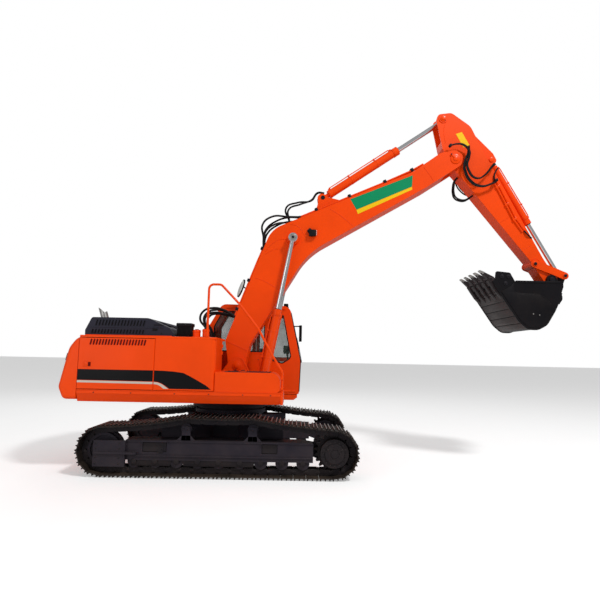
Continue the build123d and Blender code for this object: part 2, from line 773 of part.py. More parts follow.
rail_y = -1300
rail_radius = 19
rail_points = [(-268, roof_high), (-268, 3088), (-66, 3089), (252, 2761), (570, 2362), (803, 1941), (980, 1665),
               (980, sill_high - 5)]


def make_mirror():
    stem = pipe([(1085, cab_left, 2580), (1085, 1440, 2580), (1275, 1440, 2590), (1275, 1440, 2480)], 30, 12)
    return stem + box(1262, 1288, 1365, 1500, 2260, 2600)


keep("operator_seat", make_seat())
keep("seat_cushions", *make_cushions())
keep("cab_consoles", *make_consoles())
keep("handrail", pipe([(x, rail_y, z) for x, z in rail_points], 80, rail_radius))
keep("mirror", make_mirror())


# ---------------------------------------------------------------- boom

boom_side = [(-130, -60, 80), (40, -140, 80), (420, 120, 300), (2405, 629, 1400), (4950, -10, 800),
             (5767, -165, 120), (5935, -60, 110), (5900, 150, 110), (5640, 285, 250), (4990, 385, 600),
             (2214, 1439, 500), (150, 490, 140), (-120, 120, 200)]
boom_ear = [(3040, 1105, 0), (3680, 862, 0), (3478, 1180, 90), (3450, 1335, 70), (3335, 1335, 70), (3270, 1240, 80)]
arm_foot_pin_radius = 40


def inset(corners, depth):
    # the same outline drawn in by a plate's thickness
    wire = outline(corners).outer_wire()
    faces = [Face(wire.offset_2d(step, kind=Kind.INTERSECTION)) for step in (-depth, depth)]
    return min(faces, key=lambda face: face.area)


def cylinder_ears(corners):
    return [prism(corners, "y", *sorted((side * (eye_half_width + side_play), side * 85))) for side in (-1, 1)]


def make_boom():
    half = boom_half_width
    room = spread(inset(boom_side, plate), plate - half, half - plate)
    room &= box(-300, boom_fork - plate, -half, half, -400, 1700)
    room -= round_y(0, 0, 108, -half, half)
    room -= round_y(*boom_cylinder_head, 95, -half, half)
    boom = spread(outline(boom_side), -half, half) - room
    boom -= box(boom_fork, 6200, -fork_half_width, fork_half_width, -400, 600)
    for side in (-1, 1):
        boom += round_y(*boom_cylinder_head, 110, *sorted((side * (half - 1), side * head_boss_y)))
    for ear in cylinder_ears(boom_ear):
        boom += ear
    boom -= round_y(0, 0, pin_radius + pin_fit, -300, 300)
    boom -= round_y(boom_length, 0, pin_radius + pin_fit, -300, 300)
    return boom - round_y(*arm_cylinder_foot, arm_foot_pin_radius + pin_fit, -100, 100)


keep("boom", boom_frame * make_boom())
keep("boom_pins", boom_frame * round_y(boom_length, 0, pin_radius, -boom_half_width - 8, boom_half_width + 8),
     boom_frame * round_y(*arm_cylinder_foot, arm_foot_pin_radius, -92, 92))


# ---------------------------------------------------------------- arm

arm_side = [(-330, -40, 60), (-860, 225, 40), (-930, 330, 80), (-800, 560, 130), (-360, 690, 250), (100, 590, 400),
            (2530, 160, 200), (3002, 110, 80), (3050, 0, 100), (2960, -115, 90), (2464, -70, 200), (500, -105, 300),
            (60, -130, 100)]
arm_bracket = [(-355, 665, 0), (330, 745, 60), (485, 715, 60), (535, 610, 40), (490, 507, 0), (100, 577, 0)]
tail_wall = 28
tail_end = -450


def make_arm():
    half = arm_half_width
    room = spread(inset(arm_side, plate), plate - half, half - plate)
    room &= box(tail_end + plate, 2900, -half, half, -300, 900)
    room -= round_y(0, 0, 110, -half, half)
    arm = spread(outline(arm_side), -half, half) - room
    arm -= box(-1000, tail_end, tail_wall - half, half - tail_wall, -300, 900)
    for place, radius in ((guide_pivot, 68), ((arm_length, 0), 95)):
        arm += round_y(*place, radius, -half, half)
    for side in (-1, 1):
        arm += round_y(*arm_cylinder_head, 85, *sorted((side * (half - 1), side * (half + 12))))
    for bracket in cylinder_ears(arm_bracket):
        arm += bracket
    arm -= round_y(0, 0, pin_radius + pin_fit, -300, 300)
    arm -= round_y(arm_length, 0, pin_radius + pin_fit, -300, 300)
    arm -= round_y(*guide_pivot, link_pin_radius + pin_fit, -300, 300)
    return arm - round_y(*bucket_cylinder_foot, arm_foot_pin_radius + pin_fit, -100, 100)


keep("arm", arm_frame * make_arm())
keep("arm_pin", arm_frame * round_y(*bucket_cylinder_foot, arm_foot_pin_radius, -92, 92))


# ---------------------------------------------------------------- hydraulic cylinders

cylinders = {
    "boom": {"outer": 140, "bore": 120, "rod": 85, "gland": 1456, "rod_length": 1690, "eye": 85, "pin": pin_radius,
             "foot": boom_cylinder_foot, "head": on_boom(boom_cylinder_head),
             "y": (-boom_cylinder_y, boom_cylinder_y)},
    "arm": {"outer": 160, "bore": 135, "rod": 95, "gland": 1795, "rod_length": 1840, "eye": 85,
            "pin": arm_foot_pin_radius, "foot": on_boom(arm_cylinder_foot), "head": on_arm(arm_cylinder_head),
            "y": (0,)},
    "bucket": {"outer": 140, "bore": 120, "rod": 85, "gland": 1461, "rod_length": 1336, "eye": 75,
               "pin": arm_foot_pin_radius, "foot": on_arm(bucket_cylinder_foot), "head": on_arm(guide_end),
               "y": (0,)},
}


def round_x(x_low, x_high, radius):
    return Pos((x_low + x_high) / 2, 0, 0) * Rot(0, 90, 0) * Cylinder(radius, x_high - x_low)


def make_barrel(size):
    # along X from its foot pin
    gland, eye = size["gland"], size["eye"]
    neck = eye + neck_length
    barrel = round_x(neck, gland, size["outer"] / 2) + round_x(eye - 15, neck + 1, eye_half_width - 1)
    barrel += round_x(gland - 100, gland, size["outer"] / 2 + 6)
    barrel += round_y(0, 0, eye, -eye_half_width, eye_half_width)
    barrel -= round_x(neck + 25, gland - 60, size["bore"] / 2)
    barrel -= round_x(gland - 61, gland + 1, size["rod"] / 2 + slide_fit)
    return barrel - round_y(0, 0, size["pin"] + pin_fit, -60, 60)


def make_rod(size, length):
    # piston, rod and its closed eye
    start, eye = length - size["rod_length"], size["eye"]
    rod = round_x(start, length - eye + 15, size["rod"] / 2)
    rod += round_x(start, start + 70, size["bore"] / 2 - slide_fit)
    return rod + round_y(length, 0, eye, -eye_half_width, eye_half_width)


for name, size in cylinders.items():
    place, length, _ = side_frame(size["foot"], size["head"])
    keep(name + "_cylinder", *[Pos(0, y, 0) * place * make_barrel(size) for y in size["y"]])
    keep(name + "_rod", *[Pos(0, y, 0) * place * make_rod(size, length) for y in size["y"]])


# ---------------------------------------------------------------- bucket linkage

guide_inner = arm_half_width + side_play
guide_thick = 35
link_inner = eye_half_width + side_play
link_thick = 50
link_boss = 55


def plate_between(start, end, start_radius, end_radius, low, high):
    place, length, _ = side_frame(start, end)
    body = prism([(0, -start_radius, 0), (length, -end_radius, 0), (length, end_radius, 0), (0, start_radius, 0)],
                 "y", low, high)
    body += round_y(0, 0, start_radius, low, high)
    return place * (body + round_y(length, 0, end_radius, low, high))


def make_guides():
    start, end = on_arm(guide_pivot), on_arm(guide_end)
    outer = guide_inner + guide_thick
    pieces = []
    links = round_y(*start, link_pin_radius, -outer - 15, outer + 15)
    for side in (-1, 1):
        plate_y = sorted((side * guide_inner, side * outer))
        links += plate_between(start, end, 75, 68, *plate_y)
        links += round_y(*end, link_pin_radius, *sorted((side * link_inner, side * (outer + 15))))
    pieces.append(links)
    return pieces


def make_link():
    start, end = on_arm(guide_end), on_arm(bucket_link_pin)
    link = round_y(*end, link_boss, -arm_half_width, arm_half_width)
    for side in (-1, 1):
        plate_y = sorted((side * link_inner, side * (link_inner + link_thick)))
        link += plate_between(start, end, 65, link_boss, *plate_y)
    middle = (0.62 * end[0] + 0.38 * start[0], 0.62 * end[1] + 0.38 * start[1])
    link += plate_between(middle, end, 30, 30, -link_inner - 1, link_inner + 1)
    return link - round_y(*start, link_pin_radius + pin_fit, -200, 200)


keep("guide_links", *make_guides())
keep("bucket_link", make_link())


# ---------------------------------------------------------------- bucket

bucket_side = [(-1237, -169, 0), (-802, -835, 160), (-648, -965, 120), (-475, -972, 160), (-315, -884, 160),
               (-165, -640, 200), (-70, -440, 120), (15, -190, 0), (15, -91, 0), (-864, -108, 0)]
bucket_mouth = [(-1190, -195, 0), (-1305, -20, 0), (60, -20, 0), (60, -185, 0)]
side_cutter = [(-1237, -169, 0), (-1205, 76, 30), (-950, 52, 30), (-864, -108, 0), (-900, -250, 0), (-1120, -348, 0)]
lip = [(-1275, -111, 0), (-1100, -379, 0), (-1062, -354, 0), (-1237, -86, 0)]
ear = [(-150, -600, 0), (-82, -436, 0), (3, -190, 0), (-75, -80, 60), (-80, 60, 60), (60, 80, 60), (110, 0, 60),
       (195, -330, 70), (160, -430, 70), (0, -530, 120)]
tooth = [(-1496, 84, 0), (-1478, 93, 0), (-1235, -25, 20), (-1130, -215, 0), (-1195, -290, 0), (-1325, -85, 20)]
at_bucket = Pos(bucket_pin[0], 0, bucket_pin[1])
link_eye = (107.3, -353.7)          # the link's pin seen from the bucket's


def make_bucket():
    half = bucket_half_width
    inner = half - bucket_wall
    room = spread(inset(bucket_side, bucket_wall), -inner, inner)
    room += prism(bucket_mouth, "y", -inner, inner)
    bucket = spread(outline(bucket_side), -half, half) - room
    bucket += prism(lip, "y", -half, half)
    for side in (-1, 1):
        bucket += prism(side_cutter, "y", *sorted((side * (inner - 5), side * half)))
        bucket += prism(ear, "y", *sorted((side * bucket_ear_inner, side * bucket_ear_outer)))
        bucket += round_y(0, 0, 92, *sorted((side * bucket_ear_inner, side * (bucket_ear_outer + 12))))
        bucket += round_y(*link_eye, 78, *sorted((side * bucket_ear_inner, side * (bucket_ear_outer + 12))))
    return bucket - round_y(0, 0, pin_radius + pin_fit, -300, 300)


def make_teeth(bucket):
    pitch = tooth_spread / (tooth_count - 1)
    teeth = []
    for i in range(tooth_count):
        middle = -tooth_spread / 2 + i * pitch
        teeth.append(prism(tooth, "y", middle - tooth_width / 2, middle + tooth_width / 2) - bucket)
    return teeth


bucket = make_bucket()
keep("bucket", at_bucket * bucket)
keep("bucket_teeth", *[at_bucket * piece for piece in make_teeth(bucket)])
keep("bucket_pin", at_bucket * round_y(0, 0, pin_radius, -bucket_ear_outer - 14, bucket_ear_outer + 14))


def write_parts():
    for name, solids in nodes.items():
        shape = solids[0] if len(solids) == 1 else Compound(children=solids)
        shape.label = name
        export_step(shape, "parts/" + name + ".step")


write_parts()
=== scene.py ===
import bpy
import bmesh
import json
import math
from mathutils import Matrix, Vector

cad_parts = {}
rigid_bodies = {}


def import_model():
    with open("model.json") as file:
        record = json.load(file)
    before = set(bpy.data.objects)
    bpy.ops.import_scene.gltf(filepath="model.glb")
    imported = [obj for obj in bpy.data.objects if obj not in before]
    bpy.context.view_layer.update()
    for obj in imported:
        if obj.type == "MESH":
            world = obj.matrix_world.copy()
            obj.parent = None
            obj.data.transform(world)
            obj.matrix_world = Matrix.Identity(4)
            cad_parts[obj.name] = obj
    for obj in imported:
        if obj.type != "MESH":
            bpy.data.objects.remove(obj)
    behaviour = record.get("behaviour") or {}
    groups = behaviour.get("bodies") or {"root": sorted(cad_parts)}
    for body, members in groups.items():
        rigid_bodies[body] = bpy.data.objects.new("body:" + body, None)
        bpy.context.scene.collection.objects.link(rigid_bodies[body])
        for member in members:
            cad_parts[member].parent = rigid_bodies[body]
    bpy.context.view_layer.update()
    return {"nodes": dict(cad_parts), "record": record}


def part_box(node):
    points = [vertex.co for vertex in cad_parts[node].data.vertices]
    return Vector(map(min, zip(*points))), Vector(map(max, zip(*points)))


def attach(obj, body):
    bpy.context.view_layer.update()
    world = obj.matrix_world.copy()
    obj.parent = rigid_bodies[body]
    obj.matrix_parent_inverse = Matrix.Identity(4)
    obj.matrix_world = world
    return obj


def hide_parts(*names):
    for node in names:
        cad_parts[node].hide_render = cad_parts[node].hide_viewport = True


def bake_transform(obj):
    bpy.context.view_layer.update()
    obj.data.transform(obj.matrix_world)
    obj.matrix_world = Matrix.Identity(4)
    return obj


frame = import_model()
scene = bpy.context.scene


# node helpers: groups give only colours, masks, values and normals
def addNode(tree, kind, inputs=None, **settings):
    node = tree.nodes.new(kind)
    for key, value in settings.items():
        setattr(node, key, value)
    for key, value in (inputs or {}).items():
        socket = node.inputs[key]
        if isinstance(value, bpy.types.NodeSocket):
            tree.links.new(value, socket)
        else:
            socket.default_value = value
    return node


def makeGroup(name, inputs, outputs):
    group = bpy.data.node_groups.new(name, "ShaderNodeTree")
    for label, value in inputs.items():
        kind = "NodeSocketColor" if isinstance(value, tuple) else "NodeSocketFloat"
        socket = group.interface.new_socket(name=label, in_out="INPUT", socket_type=kind)
        socket.default_value = value
    for label, kind in outputs.items():
        group.interface.new_socket(name=label, in_out="OUTPUT", socket_type=kind)
    return group, group.nodes.new("NodeGroupInput"), group.nodes.new("NodeGroupOutput")


def mathNode(tree, operation, first, second=0.0, clamp=False):
    return addNode(tree, "ShaderNodeMath", {0: first, 1: second}, operation=operation, use_clamp=clamp).outputs[0]


def mixColour(tree, factor, first, second, blend="MIX"):
    node = addNode(tree, "ShaderNodeMix", data_type="RGBA", blend_type=blend)
    for index, value in ((0, factor), (6, first), (7, second)):
        if isinstance(value, bpy.types.NodeSocket):
            tree.links.new(value, node.inputs[index])
        else:
            node.inputs[index].default_value = value
    return node.outputs[2]


# edge wear: where a rounded normal leaves the flat one, broken up by noise
def makeWearGroup():
    group, inside, out = makeGroup("edgeWear", {"Width": 0.006, "Scale": 60.0, "Amount": 0.5},
                                   {"Mask": "NodeSocketFloat", "Normal": "NodeSocketVector"})
    rounded = addNode(group, "ShaderNodeBevel", {"Radius": inside.outputs["Width"]}, samples=4)
    flat = addNode(group, "ShaderNodeNewGeometry")
    dot = addNode(group, "ShaderNodeVectorMath", {0: rounded.outputs[0], 1: flat.outputs["Normal"]},
                  operation="DOT_PRODUCT")
    edge = mathNode(group, "SUBTRACT", 1.0, dot.outputs["Value"])
    where = addNode(group, "ShaderNodeTexCoord")
    noise = addNode(group, "ShaderNodeTexNoise", {"Vector": where.outputs["Object"], "Scale": inside.outputs["Scale"],
                                                  "Detail": 3.0, "Roughness": 0.65})
    broken = mathNode(group, "MULTIPLY", edge, mathNode(group, "MULTIPLY", noise.outputs[0], 9.0))
    mask = mathNode(group, "MULTIPLY", mathNode(group, "SUBTRACT", broken, 0.25, True), inside.outputs["Amount"], True)
    group.links.new(mask, out.inputs["Mask"])
    group.links.new(rounded.outputs[0], out.inputs["Normal"])
    return group


# dust: lies on faces turned up and gathers low on the machine
def makeDustGroup():
    group, inside, out = makeGroup("dust", {"Low": 0.0, "High": 1.4, "Amount": 0.5}, {"Mask": "NodeSocketFloat"})
    where = addNode(group, "ShaderNodeTexCoord")
    axes = addNode(group, "ShaderNodeSeparateXYZ", {0: where.outputs["Object"]})
    span = mathNode(group, "SUBTRACT", inside.outputs["High"], inside.outputs["Low"])
    below = mathNode(group, "SUBTRACT", inside.outputs["High"], axes.outputs[2])
    height = mathNode(group, "DIVIDE", below, span, True)
    facing = addNode(group, "ShaderNodeSeparateXYZ", {0: addNode(group, "ShaderNodeNewGeometry").outputs["Normal"]})
    upward = mathNode(group, "MULTIPLY", mathNode(group, "MAXIMUM", facing.outputs[2], 0.0), 0.5)
    patches = addNode(group, "ShaderNodeTexNoise", {"Vector": where.outputs["Object"], "Scale": 3.5, "Detail": 6.0,
                                                    "Roughness": 0.6})
    spread = mathNode(group, "ADD", mathNode(group, "MULTIPLY", height, 0.7), upward)
    speckle = mathNode(group, "MULTIPLY", spread, mathNode(group, "SUBTRACT", patches.outputs[0], 0.22, True))
    mask = mathNode(group, "MULTIPLY", mathNode(group, "MULTIPLY", speckle, 2.2), inside.outputs["Amount"], True)
    group.links.new(mask, out.inputs["Mask"])
    return group


wearGroup = makeWearGroup()
dustGroup = makeDustGroup()


def colour(red, green, blue):
    # screen colour to linear light
    def linear(value):
        value /= 255
        return value / 12.92 if value <= 0.04045 else ((value + 0.055) / 1.055) ** 2.4
    return (linear(red), linear(green), linear(blue), 1.0)


dustColour = colour(150, 128, 108)


def paintMaterial(name, base, rough=0.32, metal=0.0, wear=0.35, wornTo=None, dust=0.4, dustHigh=1.4, patch=0.06,
                  bump=0.05, coat=0.0, bumpScale=180.0, wearWidth=0.006):
    material = bpy.data.materials.new(name)
    material.use_nodes = True
    tree = material.node_tree
    tree.nodes.clear()
    out = addNode(tree, "ShaderNodeOutputMaterial")
    shader = addNode(tree, "ShaderNodeBsdfPrincipled", {"Metallic": metal, "Specular IOR Level": 0.13})
    where = addNode(tree, "ShaderNodeTexCoord").outputs["Object"]
    wearNode = addNode(tree, "ShaderNodeGroup", node_tree=wearGroup)
    wearNode.inputs["Width"].default_value = wearWidth
    wearNode.inputs["Amount"].default_value = wear
    dustNode = addNode(tree, "ShaderNodeGroup", node_tree=dustGroup)
    dustNode.inputs["High"].default_value = dustHigh
    dustNode.inputs["Amount"].default_value = dust
    broad = addNode(tree, "ShaderNodeTexNoise", {"Vector": where, "Scale": 1.7, "Detail": 4.0, "Roughness": 0.55})
    shade = addNode(tree, "ShaderNodeMapRange", {0: broad.outputs[0], 1: 0.3, 2: 0.7, 3: 1.0 - patch, 4: 1.0 + patch})
    tinted = addNode(tree, "ShaderNodeHueSaturation", {"Color": base, "Value": shade.outputs[0]})
    worn = mixColour(tree, wearNode.outputs["Mask"], tinted.outputs[0], wornTo or colour(92, 88, 86))
    dusty = mixColour(tree, dustNode.outputs["Mask"], worn, dustColour)
    tree.links.new(dusty, shader.inputs["Base Color"])
    fine = addNode(tree, "ShaderNodeTexNoise", {"Vector": where, "Scale": bumpScale, "Detail": 3.0, "Roughness": 0.6})
    spread = addNode(tree, "ShaderNodeMapRange", {0: fine.outputs[0], 1: 0.3, 2: 0.7, 3: rough - 0.05,
                                                  4: rough + 0.08})
    dull = mathNode(tree, "MULTIPLY", dustNode.outputs["Mask"], 0.4)
    roughness = mathNode(tree, "ADD", spread.outputs[0], dull, True)
    tree.links.new(roughness, shader.inputs["Roughness"])
    relief = addNode(tree, "ShaderNodeBump", {"Height": fine.outputs[0], "Strength": bump, "Distance": 0.002,
                                              "Normal": wearNode.outputs["Normal"]})
    tree.links.new(relief.outputs[0], shader.inputs["Normal"])
    if coat:
        shader.inputs["Coat Weight"].default_value = coat
        shader.inputs["Coat Roughness"].default_value = 0.12
    tree.links.new(shader.outputs[0], out.inputs[0])
    return material


def glassMaterial(name, tint, alpha, rough=0.04):
    # tinted pane that lets the cab's inside show, with a thin film of dust
    material = bpy.data.materials.new(name)
    material.use_nodes = True
    tree = material.node_tree
    tree.nodes.clear()
    out = addNode(tree, "ShaderNodeOutputMaterial")
    shader = addNode(tree, "ShaderNodeBsdfPrincipled", {"Base Color": tint, "Roughness": rough, "Metallic": 0.0})
    where = addNode(tree, "ShaderNodeTexCoord").outputs["Object"]
    smear = addNode(tree, "ShaderNodeTexNoise", {"Vector": where, "Scale": 2.5, "Detail": 4.0})
    film = addNode(tree, "ShaderNodeMapRange", {0: smear.outputs[0], 1: 0.35, 2: 0.75, 3: alpha - 0.06,
                                                4: alpha + 0.1})
    tree.links.new(film.outputs[0], shader.inputs["Alpha"])
    dull = addNode(tree, "ShaderNodeMapRange", {0: smear.outputs[0], 1: 0.3, 2: 0.8, 3: rough, 4: rough + 0.08})
    tree.links.new(dull.outputs[0], shader.inputs["Roughness"])
    tree.links.new(shader.outputs[0], out.inputs[0])
    return material


finishes = {
    "orange_paint": paintMaterial("orangePaint", colour(246, 72, 0), rough=0.36, wear=0.2, wornTo=colour(180, 66, 20),
                                  dust=0.02, dustHigh=1.3, patch=0.05, coat=0.06),
    "hood_paint": paintMaterial("hoodPaint", colour(42, 42, 54), rough=0.45, wear=0.3, wornTo=colour(96, 94, 100),
                                dust=0.08, dustHigh=2.0, patch=0.08),
    "undercarriage_paint": paintMaterial("undercarriagePaint", colour(36, 33, 44), rough=0.5, wear=0.4,
                                         wornTo=colour(92, 86, 92), dust=0.14, dustHigh=1.0, patch=0.12, bump=0.12),
    "track_steel": paintMaterial("trackSteel", colour(32, 28, 28), rough=0.5, metal=0.4, wear=0.8,
                                 wornTo=colour(118, 112, 108), dust=0.2, dustHigh=0.9, patch=0.15, bump=0.25,
                                 bumpScale=90.0),
    "dark_steel": paintMaterial("darkSteel", colour(32, 30, 36), rough=0.5, metal=0.3, wear=0.5, dust=0.12, patch=0.1,
                                bump=0.15, bumpScale=120.0),
    "black_plastic": paintMaterial("blackPlastic", colour(20, 20, 22), rough=0.55, wear=0.1, wornTo=colour(60, 60, 62),
                                   dust=0.15, dustHigh=2.4, patch=0.05, bump=0.2, bumpScale=400.0),
    "bare_steel": paintMaterial("bareSteel", colour(168, 166, 164), rough=0.35, metal=0.9, wear=0.2, dust=0.1,
                                dustHigh=2.4, patch=0.1),
    "chrome": paintMaterial("chromeRod", colour(225, 226, 228), rough=0.12, metal=1.0, wear=0.0, dust=0.04,
                            dustHigh=3.0, patch=0.03, bump=0.02),
    "bucket_paint": paintMaterial("bucketPaint", colour(11, 11, 17), rough=0.45, metal=0.1, wear=0.5,
                                  wornTo=colour(80, 74, 72), dust=0.08, dustHigh=4.6, patch=0.15, bump=0.25,
                                  bumpScale=70.0),
    "tooth_steel": paintMaterial("toothSteel", colour(46, 40, 42), rough=0.45, metal=0.5, wear=0.7,
                                 wornTo=colour(120, 110, 104), dust=0.08, dustHigh=4.6, patch=0.15, bump=0.3,
                                 bumpScale=60.0),
    "seat_fabric": paintMaterial("seatFabric", colour(40, 40, 44), rough=0.9, wear=0.0, dust=0.1, dustHigh=3.0,
                                 patch=0.1, bump=0.6, bumpScale=700.0),
    "glass": glassMaterial("cabGlass", colour(58, 80, 70), 0.32),
    "rubber": paintMaterial("rubberHose", colour(24, 24, 26), rough=0.6, wear=0.15, wornTo=colour(70, 68, 66),
                            dust=0.2, dustHigh=2.4, patch=0.1, bump=0.3, bumpScale=500.0),
    # two flat colours of painted shade: dark sheets in louvre slots, latch pits and behind grates stand for the shade
    # inside the openings
    "shadeMaroon": paintMaterial("paintedShadeMaroon", colour(96, 10, 6), rough=0.7, wear=0.0, dust=0.1, patch=0.2, bump=0.1),
    "paintedShadeBlack": paintMaterial("paintedShadeBlack", colour(12, 12, 16), rough=0.7, wear=0.0, dust=0.1, patch=0.2,
                                 bump=0.1),
    "decalBlack": paintMaterial("blackBand", colour(5, 4, 7), rough=0.35, wear=0.1, wornTo=colour(40, 36, 36),
                                dust=0.02, dustHigh=2.0, patch=0.05, bump=0.02, coat=0.05),
    "decalSilver": paintMaterial("silverBand", colour(206, 196, 184), rough=0.3, wear=0.1, dust=0.1, dustHigh=2.0,
                                 patch=0.05, bump=0.02),
    "labelGreen": paintMaterial("greenPanel", colour(10, 140, 92), rough=0.35, wear=0.05, dust=0.05, patch=0.04,
                                bump=0.02),
    "labelYellow": paintMaterial("yellowPanel", colour(246, 196, 22), rough=0.35, wear=0.05, dust=0.05, patch=0.04,
                                 bump=0.02),
    "polished": paintMaterial("polishedEdge", colour(168, 164, 160), rough=0.3, metal=0.9, wear=0.3,
                              wornTo=colour(70, 60, 54), dust=0.1, dustHigh=0.9, patch=0.2, bump=0.2, bumpScale=50.0),
    "shellSteel": paintMaterial("wornShell", colour(58, 50, 50), rough=0.42, metal=0.5, wear=0.6,
                                wornTo=colour(110, 100, 94), dust=0.12, dustHigh=3.5, patch=0.35, bump=0.5,
                                bumpScale=30.0),
    "lens": paintMaterial("lampLens", colour(226, 226, 220), rough=0.12, wear=0.0, dust=0.1, dustHigh=3.0, patch=0.05,
                          bump=0.1, bumpScale=90.0, coat=0.6),
    "redLens": paintMaterial("redLens", colour(150, 14, 12), rough=0.2, wear=0.0, dust=0.1, dustHigh=3.0, patch=0.05,
                             bump=0.1, bumpScale=200.0, coat=0.6),
    "mirrorFace": paintMaterial("mirrorFace", colour(214, 220, 224), rough=0.04, metal=1.0, wear=0.0, dust=0.03,
                                dustHigh=3.0, patch=0.02, bump=0.0),
}
for part in frame["record"]["subparts"]:
    node = bpy.data.objects[part["node"]] if part["node"] in bpy.data.objects else frame["nodes"][part["node"]]
    node.data.materials.clear()
    node.data.materials.append(finishes[part["material_slot"]])
print("materials done")

# mesh helpers: each piece is built in its rest place, in metres
identity = Matrix.Identity(4)


def soften(bm, edges, bevel, segments=2):
    if bevel:
        bmesh.ops.bevel(bm, geom=list(edges), offset=bevel, segments=segments, profile=0.5, affect="EDGES",
                        material=-1)


def addBox(bm, low, high, bevel=0.003, segments=2, place=identity):
    # box between two opposite corners, given in either order
    size = Matrix.Diagonal([abs(b - a) for a, b in zip(low, high)] + [1.0])
    middle = Matrix.Translation([(a + b) / 2 for a, b in zip(low, high)])
    verts = bmesh.ops.create_cube(bm, size=1.0, matrix=place @ middle @ size)["verts"]
    soften(bm, {edge for vert in verts for edge in vert.link_edges}, bevel, segments)


def addDrum(bm, centre, axis, radius, length, sides=20, bevel=0.0, top=None, place=identity):
    turn = Vector((0.0, 0.0, 1.0)).rotation_difference(Vector(axis)).to_matrix().to_4x4()
    verts = bmesh.ops.create_cone(bm, cap_ends=True, segments=sides, radius1=radius,
                                  radius2=radius if top is None else top, depth=length,
                                  matrix=place @ Matrix.Translation(centre) @ turn)["verts"]
    rims = {edge for vert in verts for edge in vert.link_edges
            if any(len(face.verts) == sides for face in edge.link_faces)}
    soften(bm, rims, bevel)


def addCollar(bm, x, radius, width, bevel, place=identity, sides=36):
    # open ring round the X axis, its inner face just under the surface it sits on
    inner, half = radius - 0.006, width / 2
    section = ((-half, inner), (-half, radius - bevel), (bevel - half, radius), (half - bevel, radius),
               (half, radius - bevel), (half, inner))
    rings = []
    for k in range(sides):
        turn = math.tau * k / sides
        rings.append([bm.verts.new(place @ Vector((x + along, out * math.cos(turn), out * math.sin(turn))))
                      for along, out in section])
    for k in range(sides):
        here, there = rings[k], rings[(k + 1) % sides]
        for i in range(len(section)):
            bm.faces.new((here[i], here[i - 1], there[i - 1], there[i]))


def addProfile(bm, corners, low, high, bevel=0.0, place=identity):
    # closed outline of (x, z) corners carried along y
    verts = [bm.verts.new(place @ Vector((x, low, z))) for x, z in corners]
    made = bmesh.ops.extrude_face_region(bm, geom=[bm.faces.new(verts)])["geom"]
    moved = [item for item in made if isinstance(item, bmesh.types.BMVert)]
    bmesh.ops.translate(bm, vec=place.to_3x3() @ Vector((0.0, high - low, 0.0)), verts=moved)
    soften(bm, {edge for vert in verts + moved for edge in vert.link_edges}, bevel)


def addPlan(bm, corners, low, high, bevel=0.0, place=identity):
    # closed outline of (x, y) corners carried along z
    addProfile(bm, [(x, -y) for x, y in corners], low, high, bevel, place @ Matrix.Rotation(math.radians(90), 4, "X"))


def addBolt(bm, centre, axis, size, place=identity):
    # washer and hexagon head, standing on the centre
    step = Vector(axis).normalized()
    base = Vector(centre)
    addDrum(bm, base + step * size * 0.12, axis, size * 1.05, size * 0.24, 12, place=place)
    addDrum(bm, base + step * size * 0.55, axis, size * 0.85, size * 0.7, 6, size * 0.08, place=place)


def boltRing(bm, centre, axis, radius, count, size, place=identity, start=0.0):
    turn = Vector((0.0, 0.0, 1.0)).rotation_difference(Vector(axis)).to_matrix()
    for index in range(count):
        angle = start + math.tau * index / count
        spot = Vector(centre) + turn @ Vector((math.cos(angle), math.sin(angle), 0.0)) * radius
        addBolt(bm, spot, axis, size, place)


def addTube(bm, points, radius, place=identity, smooth=True, steps=8, sides=2):
    # round run through the points: a smooth hose, or a pipe when smooth is off
    curve = bpy.data.curves.new("run", "CURVE")
    curve.dimensions = "3D"
    curve.bevel_depth = radius
    curve.bevel_resolution = sides
    curve.resolution_u = steps
    curve.use_fill_caps = True
    spline = curve.splines.new("BEZIER" if smooth else "POLY")
    knots = spline.bezier_points if smooth else spline.points
    knots.add(len(points) - 1)
    for knot, point in zip(knots, points):
        knot.co = point if smooth else (*point, 1.0)
        if smooth:
            knot.handle_left_type = knot.handle_right_type = "AUTO"
    holder = bpy.data.objects.new("run", curve)
    mesh = bpy.data.meshes.new_from_object(holder)
    mesh.transform(place)
    bm.from_mesh(mesh)
    bpy.data.objects.remove(holder)
    bpy.data.curves.remove(curve)
    bpy.data.meshes.remove(mesh)


def rounded(corners, steps=5):
    # (a, b, radius) corners to points, with an arc at each corner
    points = []
    count = len(corners)
    for index, (a, b, radius) in enumerate(corners):
        here = Vector((a, b))
        back = (Vector(corners[index - 1][:2]) - here).normalized()
        ahead = (Vector(corners[(index + 1) % count][:2]) - here).normalized()
        half = back.angle(ahead) / 2
        if not radius or half > 1.5:
            points.append((a, b))
            continue
        centre = here + (back + ahead).normalized() * (radius / math.sin(half))
        first = here + back * (radius / math.tan(half)) - centre
        last = here + ahead * (radius / math.tan(half)) - centre
        for step in range(steps + 1):
            spoke = first.normalized().slerp(last.normalized(), step / steps) * radius
            points.append((centre.x + spoke.x, centre.y + spoke.y))
    return points


def roundedBox(x1, x2, z1, z2, radius, steps=3):
    return rounded([(x1, z1, radius), (x2, z1, radius), (x2, z2, radius), (x1, z2, radius)], steps)


def ringLine(x, z, radius, count=20):
    turns = [math.tau * index / count for index in range(count + 1)]
    return [(x + radius * math.cos(turn), z + radius * math.sin(turn)) for turn in turns]


def stamp(bm, mould, places):
    # copies of a finished mesh at each place
    for place in places:
        copy = mould.copy()
        copy.transform(place)
        bm.from_mesh(copy)
        bpy.data.meshes.remove(copy)


def toMesh(bm, name):
    bmesh.ops.remove_doubles(bm, verts=bm.verts, dist=0.00001)
    bmesh.ops.recalc_face_normals(bm, faces=bm.faces)
    mesh = bpy.data.meshes.new(name)
    bm.to_mesh(mesh)
    bm.free()
    return mesh


